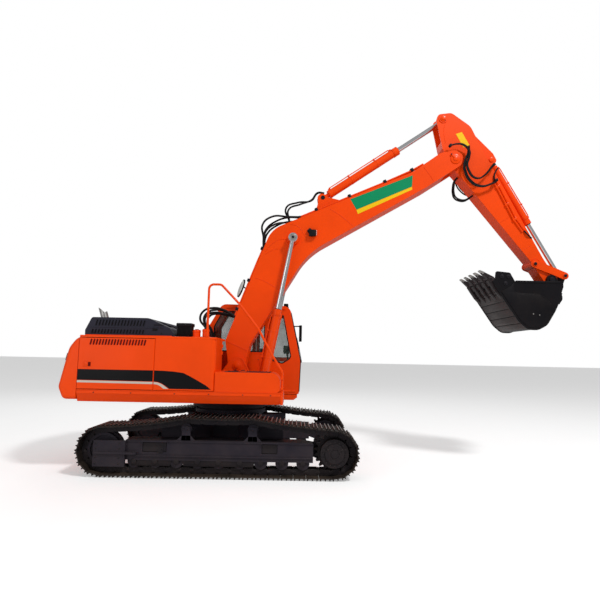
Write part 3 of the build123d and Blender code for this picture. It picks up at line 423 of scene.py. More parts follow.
def makePiece(name, bm, body, slotName, finish=None, sharp=35.0, bend=None):
    # with bend given, the piece's place is baked in and it rides on no body; the second body and the two places in
    # bend are not used
    mesh = toMesh(bm, name)
    for face in mesh.polygons:
        face.use_smooth = True
    mesh.set_sharp_from_angle(angle=math.radians(sharp))
    mesh.materials.append(finishes[finish or slotName])
    piece = bpy.data.objects.new(name, mesh)
    bpy.context.collection.objects.link(piece)
    if bend:
        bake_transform(piece)
    else:
        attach(piece, body)
    return piece


def jointSpot(name):
    for joint in frame["record"]["behaviour"]["joints"]:
        if joint["name"] == name:
            return Vector(joint["pos_m"])


def spaceBetween(start, end):
    # frame at start whose x runs to end in the side view
    tilt = math.atan2(end.z - start.z, end.x - start.x)
    return Matrix.Translation(start) @ Matrix.Rotation(-tilt, 4, "Y")


boomFoot, boomTip, bucketPin = (jointSpot(name) for name in ("boom_lift", "arm_crowd", "bucket_curl"))
boomSpace = spaceBetween(boomFoot, boomTip)
armSpace = spaceBetween(boomTip, bucketPin)
bucketSpace = Matrix.Translation(bucketPin)
sides = (-1, 1)
# thickness of the bands and labels
decalDepth = 0.0012


def boomPoint(x, z):
    return boomSpace @ Vector((x, 0.0, z))


def armPoint(x, z):
    return armSpace @ Vector((x, 0.0, z))


# ---- crawlers
crawler = {"gauge": 2.39, "tumblerX": 1.84, "radius": 0.4, "carrierX": 0.53, "top": 0.955,
           "sags": (0.018, 0.012, 0.034), "shoes": 49, "halfWidth": 0.3, "pinDepth": 0.093}


def trackLine():
    # dense points along the grouser tips, starting behind the rear tumbler's foot and heading forward
    reach, radius = crawler["tumblerX"], crawler["radius"]
    run = reach - crawler["carrierX"]
    rise = (crawler["top"] - 2 * radius) / run
    leanFront, leanRear = (math.atan(rise - 4 * crawler["sags"][index] / run) for index in (0, 2))
    points = [(-reach + 2 * reach * index / 200, 0.0) for index in range(200)]
    for index in range(100):
        angle = -math.pi / 2 + (math.pi - leanFront) * index / 100
        points.append((reach + radius * math.cos(angle), radius + radius * math.sin(angle)))
    tops = [(reach + radius * math.sin(leanFront), radius * (1 + math.cos(leanFront))),
            (crawler["carrierX"], crawler["top"]), (-crawler["carrierX"], crawler["top"]),
            (-reach - radius * math.sin(leanRear), radius * (1 + math.cos(leanRear)))]
    for (x1, z1), (x2, z2), sag in zip(tops, tops[1:], crawler["sags"]):
        for index in range(60):
            share = index / 60
            points.append((x1 + (x2 - x1) * share, z1 + (z2 - z1) * share - 4 * sag * share * (1 - share)))
    for index in range(101):
        angle = math.pi / 2 + leanRear + (math.pi - leanRear) * index / 100
        points.append((-reach + radius * math.cos(angle), radius + radius * math.sin(angle)))
    return [Vector(point) for point in points]


def placesAlong(points, count, shift):
    # count frames along the line, x onward and z inward, each on the chord of its own share
    lengths = [0.0]
    for first, second in zip(points, points[1:]):
        lengths.append(lengths[-1] + (second - first).length)
    total = lengths[-1]

    def spotAt(distance):
        distance %= total
        low, high = 0, len(lengths) - 1
        while high - low > 1:
            middle = (low + high) // 2
            if lengths[middle] <= distance:
                low = middle
            else:
                high = middle
        share = (distance - lengths[low]) / max(lengths[high] - lengths[low], 1e-9)
        return points[low].lerp(points[high], share)

    pitch = total / count
    places = []
    for index in range(count):
        first, last = spotAt((index + shift + 0.05) * pitch), spotAt((index + shift + 0.95) * pitch)
        onward = (last - first).normalized()
        middle = (first + last) / 2
        turn = Matrix(((onward.x, 0.0, -onward.y), (0.0, 1.0, 0.0), (onward.y, 0.0, onward.x))).to_4x4()
        places.append(Matrix.Translation((middle.x, 0.0, middle.y)) @ turn)
    return places, pitch


shoe = {"ribs": (-0.076, -0.002, 0.07), "ribFoot": 0.013, "ribTip": 0.006, "plateOut": 0.029, "plateBack": 0.045,
        "bolts": ((-0.039, 0.1), (0.034, 0.1), (-0.039, -0.1), (0.034, -0.1)), "boltSize": 0.014}


def shoeMesh():
    # plate with three grousers and four bolts; z runs inward from the grouser tips
    bm = bmesh.new()
    corners = [(-0.097, shoe["plateBack"]), (-0.1, 0.037)]
    for rib in shoe["ribs"]:
        corners += [(rib - shoe["ribFoot"], shoe["plateOut"]), (rib - shoe["ribTip"], 0.004), (rib, 0.001),
                    (rib + shoe["ribTip"], 0.004), (rib + shoe["ribFoot"], shoe["plateOut"])]
    corners += [(0.094, 0.026), (0.1, 0.03), (0.098, 0.04), (0.088, shoe["plateBack"])]
    addProfile(bm, corners, -crawler["halfWidth"], crawler["halfWidth"])
    for x, y in shoe["bolts"]:
        addDrum(bm, (x, y, shoe["plateOut"] - 0.005), (0, 0, 1), shoe["boltSize"], 0.014, 6)
    return toMesh(bm, "shoe")


def tipMesh():
    # polished caps of the three grousers
    bm = bmesh.new()
    wide = crawler["halfWidth"] - 0.002
    for rib in shoe["ribs"]:
        addProfile(bm, [(rib - 0.0086, 0.0085), (rib - 0.0062, 0.003), (rib, 0.0002), (rib + 0.0062, 0.003),
                        (rib + 0.0086, 0.0085)], -wide, wide)
    return toMesh(bm, "tips")


def linkMesh(pitch):
    # pair of chain links with their pin and bush
    bm = bmesh.new()
    half = pitch / 2
    deep = crawler["pinDepth"]
    for side in sides:
        addProfile(bm, [(-0.08, 0.046), (0.08, 0.046), (0.096, 0.075), (0.078, 0.138), (-0.078, 0.138),
                        (-0.096, 0.075)], side * 0.08, side * 0.12)
        addDrum(bm, (-half, side * 0.088, deep), (0, 1, 0), 0.038, 0.024, 12)
        addDrum(bm, (half, side * 0.113, deep), (0, 1, 0), 0.038, 0.024, 12)
    addDrum(bm, (half, 0, deep), (0, 1, 0), 0.02, 0.262, 10)
    addDrum(bm, (half, 0, deep), (0, 1, 0), 0.03, 0.16, 12)
    return toMesh(bm, "link")


def makeTracks():
    places, pitch = placesAlong(trackLine(), crawler["shoes"], 0.0)
    plate, tips, link = shoeMesh(), tipMesh(), linkMesh(pitch)
    for side, name in ((-1, "Right"), (1, "Left")):
        across = Matrix.Translation((0.0, side * crawler["gauge"] / 2, 0.0))
        spots = [across @ place for place in places]
        for label, mould, finish in (("shoes", plate, "track_steel"), ("grouserTips", tips, "polished"),
                                     ("chain", link, "dark_steel")):
            bm = bmesh.new()
            stamp(bm, mould, spots)
            piece = makePiece(label + name, bm, "undercarriage", "track_steel", finish, sharp=30.0)
            if label == "shoes":
                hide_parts("track_" + name.lower())
    for mould in (plate, tips, link):
        bpy.data.meshes.remove(mould)


makeTracks()
print("tracks done")

frameTrim = {"face": 0.17, "guardFace": 0.225, "top": 0.56, "low": 0.335, "front": 1.5, "rear": -1.47,
             "pockets": ((-1.21, -0.83), (0.68, 0.93)), "rollers": 9, "rollerPitch": 0.335, "rollerFirst": -1.34,
             "guards": ((-1.42, -0.72), (-0.6, 0.6)), "motorFace": 0.23}


def makeFrameTrim():
    paint, steel, dark = (bmesh.new() for _ in range(3))
    centre = crawler["gauge"] / 2
    rear, front, top, low = (frameTrim[key] for key in ("rear", "front", "top", "low"))
    for side in sides:
        face = side * (centre + frameTrim["face"])

        def strip(bm, x1, x2, z1, z2, depth, inward=0.0, bevel=0.003):
            addBox(bm, (x1, face - side * inward, z1), (x2, face + side * depth, z2), bevel)

        strip(paint, rear, front, top - 0.03, top - 0.012, 0.014)
        strip(paint, rear + 0.15, front - 0.02, low - 0.03, low - 0.008, 0.02)
        for start, end in frameTrim["pockets"]:
            strip(paint, start - 0.01, end + 0.01, top - 0.028, top - 0.004, 0.045)
            strip(dark, start + 0.01, end - 0.01, low + 0.05, top - 0.04, 0.0, 0.031, 0.0)
        # hatch over the track tensioner and its bolts
        strip(dark, -0.972, -0.884, 0.362, 0.44, 0.008)
        for x in (-0.96, -0.896):
            for z in (0.374, 0.428):
                addBolt(steel, (x, face + side * 0.008, z), (0, side, 0), 0.008)
        # gussets beside the carrier posts
        for x in (-crawler["carrierX"], crawler["carrierX"]):
            for step in (-1, 1):
                foot, tip = x + step * 0.15, x + step * 0.07
                addProfile(paint, [(foot, top), (tip, top + 0.08), (x, top + 0.08), (x, top)],
                           face - side * 0.012, face, 0.001)
            boltRing(steel, (x, face + side * 0.0016, 0.76), (0, side, 0), 0.04, 4, 0.009, start=0.4)
        # bolts on the guard over the idler's yoke
        guard = side * (centre + frameTrim["guardFace"])
        for x in (-1.93, -1.56):
            for z in (0.2, 0.29, 0.43, 0.51):
                addBolt(steel, (x, guard, z), (0, side, 0), 0.012)
        # roller guards with the collars of the roller axles below the beam
        for start, end in frameTrim["guards"]:
            addProfile(dark, [(start, 0.335), (end, 0.335), (end - 0.05, 0.16), (start + 0.05, 0.16)],
                       face - side * 0.03, face - side * 0.012, 0.002)
        for index in range(frameTrim["rollers"]):
            x = frameTrim["rollerFirst"] + index * frameTrim["rollerPitch"]
            addDrum(dark, (x, face - side * 0.006, 0.23), (0, side, 0), 0.042, 0.026, 16, 0.004)
            for step in (-0.075, 0.075):
                addBolt(steel, (x + step, face - side * 0.012, 0.28), (0, side, 0), 0.011)
        # travel motor cover
        motor = side * (centre + frameTrim["motorFace"])
        hub = (crawler["tumblerX"], motor, 0.4)
        boltRing(steel, hub, (0, side, 0), 0.185, 16, 0.011)
        boltRing(steel, hub, (0, side, 0), 0.085, 8, 0.009, start=0.2)
        addDrum(dark, (hub[0], motor + side * 0.006, 0.4), (0, side, 0), 0.06, 0.014, 24, 0.003)
        for angle in (0.5, 2.6):
            addBolt(steel, (hub[0] + 0.13 * math.cos(angle), motor, 0.4 + 0.13 * math.sin(angle)), (0, side, 0), 0.016)
    boltRing(steel, (0, 0, 0.965), (0, 0, 1), 0.622, 40, 0.015)
    makePiece("frameStrips", paint, "undercarriage", "undercarriage_paint")
    makePiece("frameGuards", dark, "undercarriage", "dark_steel")
    makePiece("frameBolts", steel, "undercarriage", "dark_steel")


makeFrameTrim()
print("undercarriage trim done")

# ---- house sides, hood and roof
house = {"side": 1.355, "louvreSize": (0.0125, 0.048), "louvreLean": 12.0, "louvreHeight": 2.1,
         "rows": (("right_rear_door", -1, -2.14, 0.0486, 19), ("left_rear_door", 1, -2.2, 0.0486, 15)),
         "latches": (("right_rear_door", -1, -2.18), ("left_rear_door", 1, -1.56), ("left_front_door", 1, -1.25)),
         "band": ((-2.326, 1.484), (-1.109, 1.478), (-1.109, 1.656), (-2.326, 1.656)),
         "stripe": ((-2.326, 1.444), (-1.109, 1.436), (-1.109, 1.472), (-2.326, 1.479)),
         "frontBand": ((-1.092, 1.478), (-1.03, 1.472), (-0.965, 1.45), (-0.9, 1.41), (-0.836, 1.366),
                       (-0.165, 1.366), (-0.24, 1.425), (-0.372, 1.5), (-0.504, 1.57), (-0.619, 1.624),
                       (-0.787, 1.645), (-0.95, 1.653), (-1.092, 1.656)),
         "frontStripe": ((-1.092, 1.436), (-1.04, 1.431), (-0.99, 1.412), (-0.93, 1.366), (-0.848, 1.366),
                         (-0.905, 1.405), (-0.968, 1.444), (-1.03, 1.466), (-1.092, 1.472))}


def stadium(halfWide, halfTall):
    return roundedBox(-halfWide, halfWide, -halfTall, halfTall, halfWide * 0.96, 4)


def addRim(bm, corners, low, high, border, pit, place=identity):
    # outline carried from low to high, the outer face edged and sunk by a share of the height
    verts = [bm.verts.new(place @ Vector((x, low, z))) for x, z in corners]
    made = bmesh.ops.extrude_face_region(bm, geom=[bm.faces.new(verts)])["geom"]
    moved = {item for item in made if isinstance(item, bmesh.types.BMVert)}
    outward = place.to_3x3() @ Vector((0.0, high - low, 0.0))
    bmesh.ops.translate(bm, vec=outward, verts=list(moved))
    front = next(item for item in made if isinstance(item, bmesh.types.BMFace) and set(item.verts) <= moved)
    bmesh.ops.inset_region(bm, faces=[front], thickness=border, use_even_offset=True)
    bmesh.ops.translate(bm, vec=-outward * pit, verts=list(front.verts))


def addLouvre(lips, shadeSheets, x, y, z, side, size, lean=0.0):
    # raised lip round a dark sheet on a side face; the sheet is painted shade standing for the slot's opening
    place = Matrix.Translation((x, y, z)) @ Matrix.Rotation(math.radians(lean), 4, "Y")
    addRim(lips, stadium(size[0] + 0.004, size[1] + 0.004), -side * 0.004, side * 0.0045, 0.004, 0.42, place)
    addProfile(shadeSheets, stadium(size[0], size[1]), 0.0, side * 0.0018, 0.0, place)


def makeSideLouvres():
    for body, side, first, pitch, count in house["rows"]:
        lips, shadeSheets = bmesh.new(), bmesh.new()
        for index in range(count):
            addLouvre(lips, shadeSheets, first + index * pitch, side * house["side"], house["louvreHeight"], side,
                      house["louvreSize"], house["louvreLean"])
        makePiece(body + "Lips", lips, body, "orange_paint")
        # dark sheets of painted shade in the louvre openings
        makePiece(body + "Slots", shadeSheets, body, "black_plastic", "shadeMaroon")


def makeLatches():
    for body, side, x in house["latches"]:
        y = side * house["side"]
        plate, pit = bmesh.new(), bmesh.new()
        place = Matrix.Translation((x, y, 1.738))
        addRim(plate, roundedBox(-0.064, 0.064, -0.046, 0.046, 0.012), -side * 0.004, side * 0.004, 0.005, 0.45, place)
        addProfile(plate, roundedBox(-0.05, 0.01, -0.03, 0.03, 0.006, 2), 0.0, side * 0.006, 0.0015, place)
        addDrum(plate, (-0.02, side * 0.007, 0.0), (0, 1, 0), 0.011, 0.004, 16, place=place)
        # dark sheet in the latch's pit: painted shade of the recess
        addProfile(pit, roundedBox(0.016, 0.056, -0.033, 0.033, 0.006, 2), 0.0, side * 0.0026, 0.0, place)
        makePiece(body + "Latch", plate, body, "orange_paint")
        makePiece(body + "LatchPitShade", pit, body, "black_plastic", "shadeMaroon")


def makeBands():
    # dark bands and pale stripes laid on the panels, alike on both sides
    right, left = -house["side"], house["side"]
    for label, body, key, finish in (("rightRear", "right_rear_door", "band", "decalBlack"),
                                     ("rightRear", "right_rear_door", "stripe", "decalSilver"),
                                     ("rightFront", "upper", "frontBand", "decalBlack"),
                                     ("rightFront", "upper", "frontStripe", "decalSilver")):
        bm = bmesh.new()
        addProfile(bm, house[key], right, right - decalDepth)
        makePiece(label + key.capitalize(), bm, body, "orange_paint", finish)
    for label, body, low, high in (("leftRear", "left_rear_door", -2.326, -1.409),
                                   ("leftFront", "left_front_door", -1.386, -0.609)):
        for key, finish, z1, z2 in (("Band", "decalBlack", 1.48, 1.656), ("Stripe", "decalSilver", 1.438, 1.475)):
            bm = bmesh.new()
            curve = [(low, z1), (high, z1), (high, z2), (low, z2)]
            if body == "left_front_door" and key == "Band":
                curve = [(low, z1), (-0.64, z1), (-0.72, 1.55), (-0.83, 1.61), (-0.96, 1.645), (low, z2)]
            if body == "left_front_door" and key == "Stripe":
                curve = [(low, z1), (-0.72, z1), (-0.64, z2), (low, z2)]
            addProfile(bm, curve, left, left + decalDepth)
            makePiece(label + key, bm, body, "orange_paint", finish)


hood = {"right": -1.18, "left": 1.09, "top": 2.515, "slot": (0.0115, 0.05), "lowSlot": (0.0115, 0.036),
        "first": -2.2, "pitch": 0.0525, "count": 17, "lean": 14.0, "ribs": (-1.45, -1.62, -1.79, -1.96),
        "grates": (-0.75, -0.35, 0.05, 0.45, 0.85)}


def makeHoodTrim():
    lips, shadeSheets, metal = (bmesh.new() for _ in range(3))
    for side, y in ((-1, hood["right"]), (1, hood["left"])):
        # each louvre's black sheet is painted shade of its opening
        for index in range(hood["count"]):
            x = hood["first"] + index * hood["pitch"]
            if index > 0:
                addLouvre(lips, shadeSheets, x + 0.01, y, 2.425, side, hood["slot"], hood["lean"])
            addLouvre(lips, shadeSheets, x, y, 2.283, side, hood["lowSlot"], hood["lean"])
        # pressed swage between the rows and along the foot
        addBox(lips, (-2.24, y, 2.345), (-1.02, y + side * 0.005, 2.357), 0.002)
        addBox(lips, (-2.3, y, 2.222), (-0.88, y + side * 0.005, 2.234), 0.002)
        # latch and grab handle by the front
        addBox(metal, (-1.2, y, 2.31), (-1.12, y + side * 0.012, 2.34), 0.003)
        addTube(metal, [(-1.17, y - side * 0.004, 2.4), (-1.17, y + side * 0.028, 2.4),
                        (-1.04, y + side * 0.028, 2.4), (-1.04, y - side * 0.004, 2.4)], 0.007, smooth=False)
        for x in (-2.17, -1.05):
            addBolt(metal, (x, y, 2.26), (0, side, 0), 0.009)
    # ribs pressed in the top, grating on the sloping front, hinges at the rear
    for x in hood["ribs"]:
        addBox(lips, (x - 0.02, -0.6, hood["top"] - 0.004), (x + 0.02, 0.9, hood["top"] + 0.007), 0.005)
    frontPlace = Matrix.Translation((-1.08, 0.0, 2.437)) @ Matrix.Rotation(math.radians(20.8), 4, "Y")
    for y in hood["grates"]:
        # black sheet behind each grate: painted shade of the opening
        addBox(shadeSheets, (-0.1, y - 0.14, -0.006), (0.1, y + 0.14, 0.004), 0.001, place=frontPlace)
        for step in range(5):
            bar = y - 0.14 + step * 0.07
            addBox(lips, (-0.1, bar - 0.005, -0.004), (0.1, bar + 0.005, 0.007), 0.001, place=frontPlace)
    for y in (-0.8, 0.7):
        addBox(metal, (-2.3275, y - 0.05, 2.232), (-2.3215, y + 0.05, 2.262), 0.002)
        addDrum(metal, (-2.3095, y, 2.2275), (0, 1, 0), 0.0135, 0.14, 16, 0.002)
    makePiece("hoodLips", lips, "hood", "hood_paint")
    makePiece("hoodSlots", shadeSheets, "hood", "black_plastic", "paintedShadeBlack")
    makePiece("hoodFittings", metal, "hood", "black_plastic", "black_plastic")


def makeIntake():
    # air pre-cleaner: finned body with a cap, kept within its place
    low, high = (Vector(corner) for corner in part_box("air_precleaner"))
    bm = bmesh.new()
    for edge, z1, z2, bevel, segments in ((0.012, low.z, high.z - 0.05, 0.02, 3),
                                          (0.0, high.z - 0.06, high.z, 0.016, 3),
                                          (0.002, low.z, low.z + 0.016, 0.004, 2)):
        addBox(bm, (low.x + edge, low.y + edge, z1), (high.x - edge, high.y - edge, z2), bevel, segments)
    count = 11
    for index in range(count):
        x = low.x + 0.03 + (high.x - low.x - 0.06) * index / (count - 1)
        for y in (low.y + 0.006, high.y - 0.006):
            addBox(bm, (x - 0.004, y - 0.006, low.z + 0.02), (x + 0.004, y + 0.006, high.z - 0.055), 0.001, 1)
    piece = makePiece("intakeCap", bm, "upper", "black_plastic")
    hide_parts("air_precleaner")


roofTrim = {"top": 2.21, "rail": -1.3, "stud": 0.055, "necks": ((-0.47, 0.062, 2.335), (-0.32, 0.055, 2.35)),
            "neckY": -1.15, "pads": ((-0.98, -0.46, -0.84, -0.3, 2.21), (0.02, 0.78, -1.26, -0.7, 1.65))}


def makeRoofTrim():
    paint, grip, steel = (bmesh.new() for _ in range(3))
    roof, rail = roofTrim["top"], roofTrim["rail"]
    # anti-slip plates on the roof and the front box, each with rows of raised studs
    for x1, x2, y1, y2, z in roofTrim["pads"]:
        addBox(grip, (x1, y1, z - 0.001), (x2, y2, z + 0.003), 0.001, 1)
        countX, countY = (int(length / roofTrim["stud"]) for length in (x2 - x1, y2 - y1))
        for i in range(countX):
            for j in range(countY):
                spot = (x1 + (i + 0.5) * (x2 - x1) / countX, y1 + (j + 0.5) * (y2 - y1) / countY, z + 0.004)
                addDrum(grip, spot, (0, 0, 1), 0.012, 0.005, 8)
        for x in (x1 + 0.02, x2 - 0.02):
            for y in (y1 + 0.02, y2 - 0.02):
                addBolt(steel, (x, y, z + 0.003), (0, 0, 1), 0.008)
    # filler necks and their caps
    for x, radius, top in roofTrim["necks"]:
        y = roofTrim["neckY"]
        addDrum(paint, (x, y, roof + 0.006), (0, 0, 1), radius + 0.022, 0.012, 32, 0.003)
        addDrum(paint, (x, y, top - 0.03), (0, 0, 1), radius + 0.006, 0.024, 32, 0.004)
        boltRing(steel, (x, y, roof + 0.011), (0, 0, 1), radius + 0.012, 6, 0.006)
        addBox(steel, (x - 0.03, y - 0.004, top), (x + 0.03, y + 0.004, top + 0.012), 0.002)
    # fuel filler on the front box, with its lid and lock
    addDrum(paint, (0.3, -0.98, 1.652), (0, 0, 1), 0.075, 0.03, 32, 0.006)
    addDrum(steel, (0.3, -0.98, 1.672), (0, 0, 1), 0.04, 0.014, 6, 0.003)
    # foot of the handrail and its clamps
    addDrum(paint, (-0.268, rail, roof + 0.005), (0, 0, 1), 0.045, 0.01, 24, 0.002)
    for angle in (0.4, 1.97, 3.54, 5.11):
        spot = (-0.268 + 0.034 * math.cos(angle), rail + 0.034 * math.sin(angle), roof + 0.009)
        addBolt(steel, spot, (0, 0, 1), 0.006)
    for z in (1.4, 1.56):
        addBox(paint, (0.952, rail - 0.032, z - 0.02), (1.003, rail + 0.032, z + 0.02), 0.005)
        for step in (0.021, -0.021):
            addBolt(steel, (1.003, rail + step, z), (1, 0, 0), 0.007)
    # folded edges along the skirt
    for side in sides:
        addBox(paint, (-2.32, side * 1.352, 1.322), (-0.12 if side < 0 else -0.62, side * 1.362, 1.334), 0.003)
    addBox(paint, (-0.1, -1.362, 1.322), (0.985, -1.352, 1.334), 0.003)
    for x in (-2.05, -1.45, -0.75, -0.2, 0.35, 0.8):
        addBolt(steel, (x, -1.353, 1.29), (0, -1, 0), 0.009)
    # rain gutters beside the hood
    for y in (-1.215, 1.11):
        addBox(paint, (-2.3, y, roof - 0.001), (-0.87, y + 0.015, roof + 0.014), 0.004)
    # pair of blocks on the pillar beside the boom's slot
    for z in (1.96, 2.08):
        addBox(paint, (-0.118, -0.66, z - 0.03), (-0.1, -0.6, z + 0.03), 0.004)
    makePiece("roofFittings", paint, "upper", "orange_paint")
    makePiece("gripPlates", grip, "upper", "black_plastic", "dark_steel")
    makePiece("houseBolts", steel, "upper", "dark_steel")


def tailPlace(y, z):
    # frame on the counterweight's round back, x pointing out of it
    radius = 2.945 - max(z - 1.362, 0.0) * 0.19
    turn = math.atan2(y, math.sqrt(radius * radius - y * y))
    return (Matrix.Rotation(math.pi - turn, 4, "Z") @ Matrix.Translation((radius, 0.0, z))
            @ Matrix.Rotation(math.radians(-11.0 if z > 1.362 else 0.0), 4, "Y"))


def makeCounterweightTrim():
    paint, dark, red, lens, steel = (bmesh.new() for _ in range(5))
    for y in (-0.98, 0.98):
        place = tailPlace(y, 1.85)
        addBox(dark, (-0.03, -0.14, -0.062), (0.004, 0.14, 0.062), 0.003, 3, place)
        addBox(red, (-0.02, -0.115, -0.04), (0.008, -0.004, 0.04), 0.003, place=place)
        addBox(lens, (-0.02, 0.004, -0.04), (0.008, 0.115, 0.04), 0.003, place=place)
    for y in (-0.7, 0.7):
        addBox(red, (-0.01, -0.05, -0.02), (0.004, 0.05, 0.02), 0.002, place=tailPlace(y, 1.5))
    # small camera hood on the upper edge
    addBox(dark, (-2.62, -0.05, 2.19), (-2.54, 0.05, 2.25), 0.012, 3)
    addDrum(lens, (-2.623, 0.0, 2.225), (1, 0, 0), 0.018, 0.012, 20, 0.002)
    # cover plates over the hanging bolts
    for y in (-0.42, 0.42):
        addBox(paint, (-2.5, y - 0.09, 2.19), (-2.38, y + 0.09, 2.203), 0.004)
        for step in (-0.06, 0.06):
            addBolt(steel, (-2.44, y + step, 2.203), (0, 0, 1), 0.014)
    makePiece("counterweightPlates", paint, "upper", "orange_paint")
    makePiece("rearHousings", dark, "upper", "black_plastic")
    makePiece("rearReflectors", red, "upper", "black_plastic", "redLens")
    makePiece("rearLenses", lens, "upper", "glass", "lens")
    makePiece("counterweightBolts", steel, "upper", "dark_steel")


def makeSlotLining():
    # sheet walls that close the house off beside the boom's slot
    bm = bmesh.new()
    addPlan(bm, [(-0.118, -0.648), (-0.432, -0.332), (-0.446, -0.344), (-0.13, -0.66)], 1.337, 2.172)
    addPlan(bm, [(-0.434, -0.33), (-0.448, -0.33), (-0.448, 0.44), (-0.434, 0.44)], 1.74, 2.172)
    addBox(bm, (-0.445, -0.34, 2.165), (-0.43, 0.44, 2.215), 0.004)
    for z in (1.42, 1.78, 2.12):
        addBolt(bm, (-0.268, -0.496, z), (0.7, -0.7, 0), 0.008)
    makePiece("slotLining", bm, "upper", "orange_paint")


makeSideLouvres()
makeLatches()
makeBands()
makeHoodTrim()
makeIntake()
makeRoofTrim()
makeCounterweightTrim()
makeSlotLining()
print("house trim done")

# ---- cab
cab = {"right": 0.455, "left": 1.375, "seal": 0.011, "lamps": (0.62, 1.21),
       "frontPane": [(0.7, 1.85, 0.04), (0.93, 1.79, 0.06), (1.1, 1.9, 0.08), (0.925, 2.76, 0.08), (0.7, 2.79, 0.06)],
       "rearPane": [(-0.44, 2.01, 0.06), (0.56, 2.01, 0.06), (0.56, 2.79, 0.06), (-0.28, 2.8, 0.12),
                    (-0.44, 2.5, 0.1)],
       "leftPane": [(-0.44, 2.01, 0.06), (0.26, 2.01, 0.06), (0.26, 2.79, 0.06), (-0.28, 2.8, 0.12),
                    (-0.44, 2.5, 0.1)],
       "doorPane": [(0.4, 1.9, 0.06), (1.105, 1.9, 0.06), (0.942, 2.765, 0.08), (0.4, 2.765, 0.06)],
       "doorLow": [(0.4, 1.36, 0.06), (1.085, 1.36, 0.06), (1.105, 1.82, 0.06), (0.4, 1.82, 0.06)],
       "door": [(0.335, 1.245, 0.03), (1.15, 1.245, 0.06), (1.176, 1.85, 0.6), (0.975, 2.825, 0.11),
                (0.335, 2.83, 0.06)]}


def frontX(z):
    # the cab's sloping front skin
    return 1.268 + 0.024 * (z - 1.19) / 0.66 if z < 1.85 else 1.289 - 0.234 * (z - 1.85) / 1.078


def backX(z):
    return -0.5475 - 0.0124 * (z - 1.2) if z < 2.3 else -0.558


def sealLoop(bm, points, radius):
    addTube(bm, list(points) + [points[0], points[1]], radius, smooth=False, sides=1)


def makeCabTrim():
    seal, paint, dark, steel, lens = (bmesh.new() for _ in range(5))
    right, left = cab["right"], cab["left"]
    for key in ("frontPane", "rearPane"):
        sealLoop(seal, [(x, right - 0.001, z) for x, z in rounded(cab[key], 4)], cab["seal"])
    sealLoop(seal, [(x, left + 0.001, z) for x, z in rounded(cab["leftPane"], 4)], cab["seal"])
    for y1, y2, z1, z2 in ((0.52, 1.31, 1.85, 2.8), (0.52, 1.31, 1.33, 1.79)):
        sealLoop(seal, [(frontX(z) + 0.001, y, z) for y, z in roundedBox(y1, y2, z1, z2, 0.04)], cab["seal"])
    sealLoop(seal, [(backX(z) - 0.001, y, z) for y, z in roundedBox(0.54, 1.29, 2.01, 2.42, 0.04)], cab["seal"])
    # dark edge down the front corners, where the screen is bonded
    for y in (right + 0.004, left - 0.004):
        addTube(seal, [(frontX(z) + 0.002, y, z) for z in (1.24, 1.5, 1.8, 1.9, 2.2, 2.5, 2.78)], 0.009,
                smooth=False)
    # roof hatch, its hinges and the drip rails
    addBox(paint, (0.1, 0.63, 2.925), (0.78, 1.2, 2.957), 0.02, 3)
    addBox(dark, (0.2, 0.72, 2.95), (0.68, 1.11, 2.963), 0.008)
    for y in (0.7, 1.13):
        addBox(steel, (0.05, y - 0.035, 2.935), (0.13, y + 0.035, 2.955), 0.004)
    for y in (right - 0.006, left + 0.006):
        addTube(paint, [(-0.2, y, 2.875), (0.2, y, 2.885), (0.7, y, 2.885), (0.98, y, 2.86)], 0.011, smooth=False)
    # waist swage, sill rail and lower bolts on the blind side
    addBox(paint, (-0.5, right - 0.007, 1.965), (0.62, right + 0.003, 1.98), 0.003)
    addBox(paint, (-0.5, right - 0.01, 1.23), (1.2, right + 0.003, 1.262), 0.004)
    for x in (-0.42, -0.05, 0.35):
        addBolt(steel, (x, right - 0.009, 1.246), (0, -1, 0), 0.01)
    for x, z in ((-0.25, 1.45), (0.45, 1.45), (0.45, 1.85), (-0.25, 1.85)):
        addBolt(steel, (x, right, z), (0, -1, 0), 0.008)
    # wiper on the screen and its motor cover
    foot = frontX(1.82)
    addBox(dark, (foot, 1.12, 1.795), (foot + 0.03, 1.28, 1.842), 0.008)
    addTube(dark, [(foot + 0.03, 1.2, 1.82), (frontX(2.1) + 0.028, 1.05, 2.1), (frontX(2.32) + 0.022, 0.93, 2.32)],
            0.007, smooth=False)
    addTube(seal, [(frontX(2.08) + 0.012, 0.99, 2.08), (frontX(2.56) + 0.012, 0.87, 2.56)], 0.009, smooth=False)
    # grab rail by the door, work lamps over the screen
    addTube(steel, [(1.19, left - 0.004, 1.42), (1.205, left + 0.045, 1.46), (1.17, left + 0.045, 2.02),
                    (1.155, left - 0.004, 2.06)], 0.012, smooth=False)
    for y in cab["lamps"]:
        addBox(dark, (0.93, y - 0.07, 2.925), (1.02, y + 0.07, 2.99), 0.012, 3)
        addBox(lens, (1.012, y - 0.058, 2.937), (1.024, y + 0.058, 2.98), 0.004)
    makePiece("cabSeals", seal, "upper", "black_plastic", "rubber")
    makePiece("cabFittings", paint, "upper", "orange_paint")
    makePiece("cabCovers", dark, "upper", "black_plastic")
    makePiece("cabBolts", steel, "upper", "dark_steel")
    makePiece("cabLampLenses", lens, "upper", "glass", "lens")


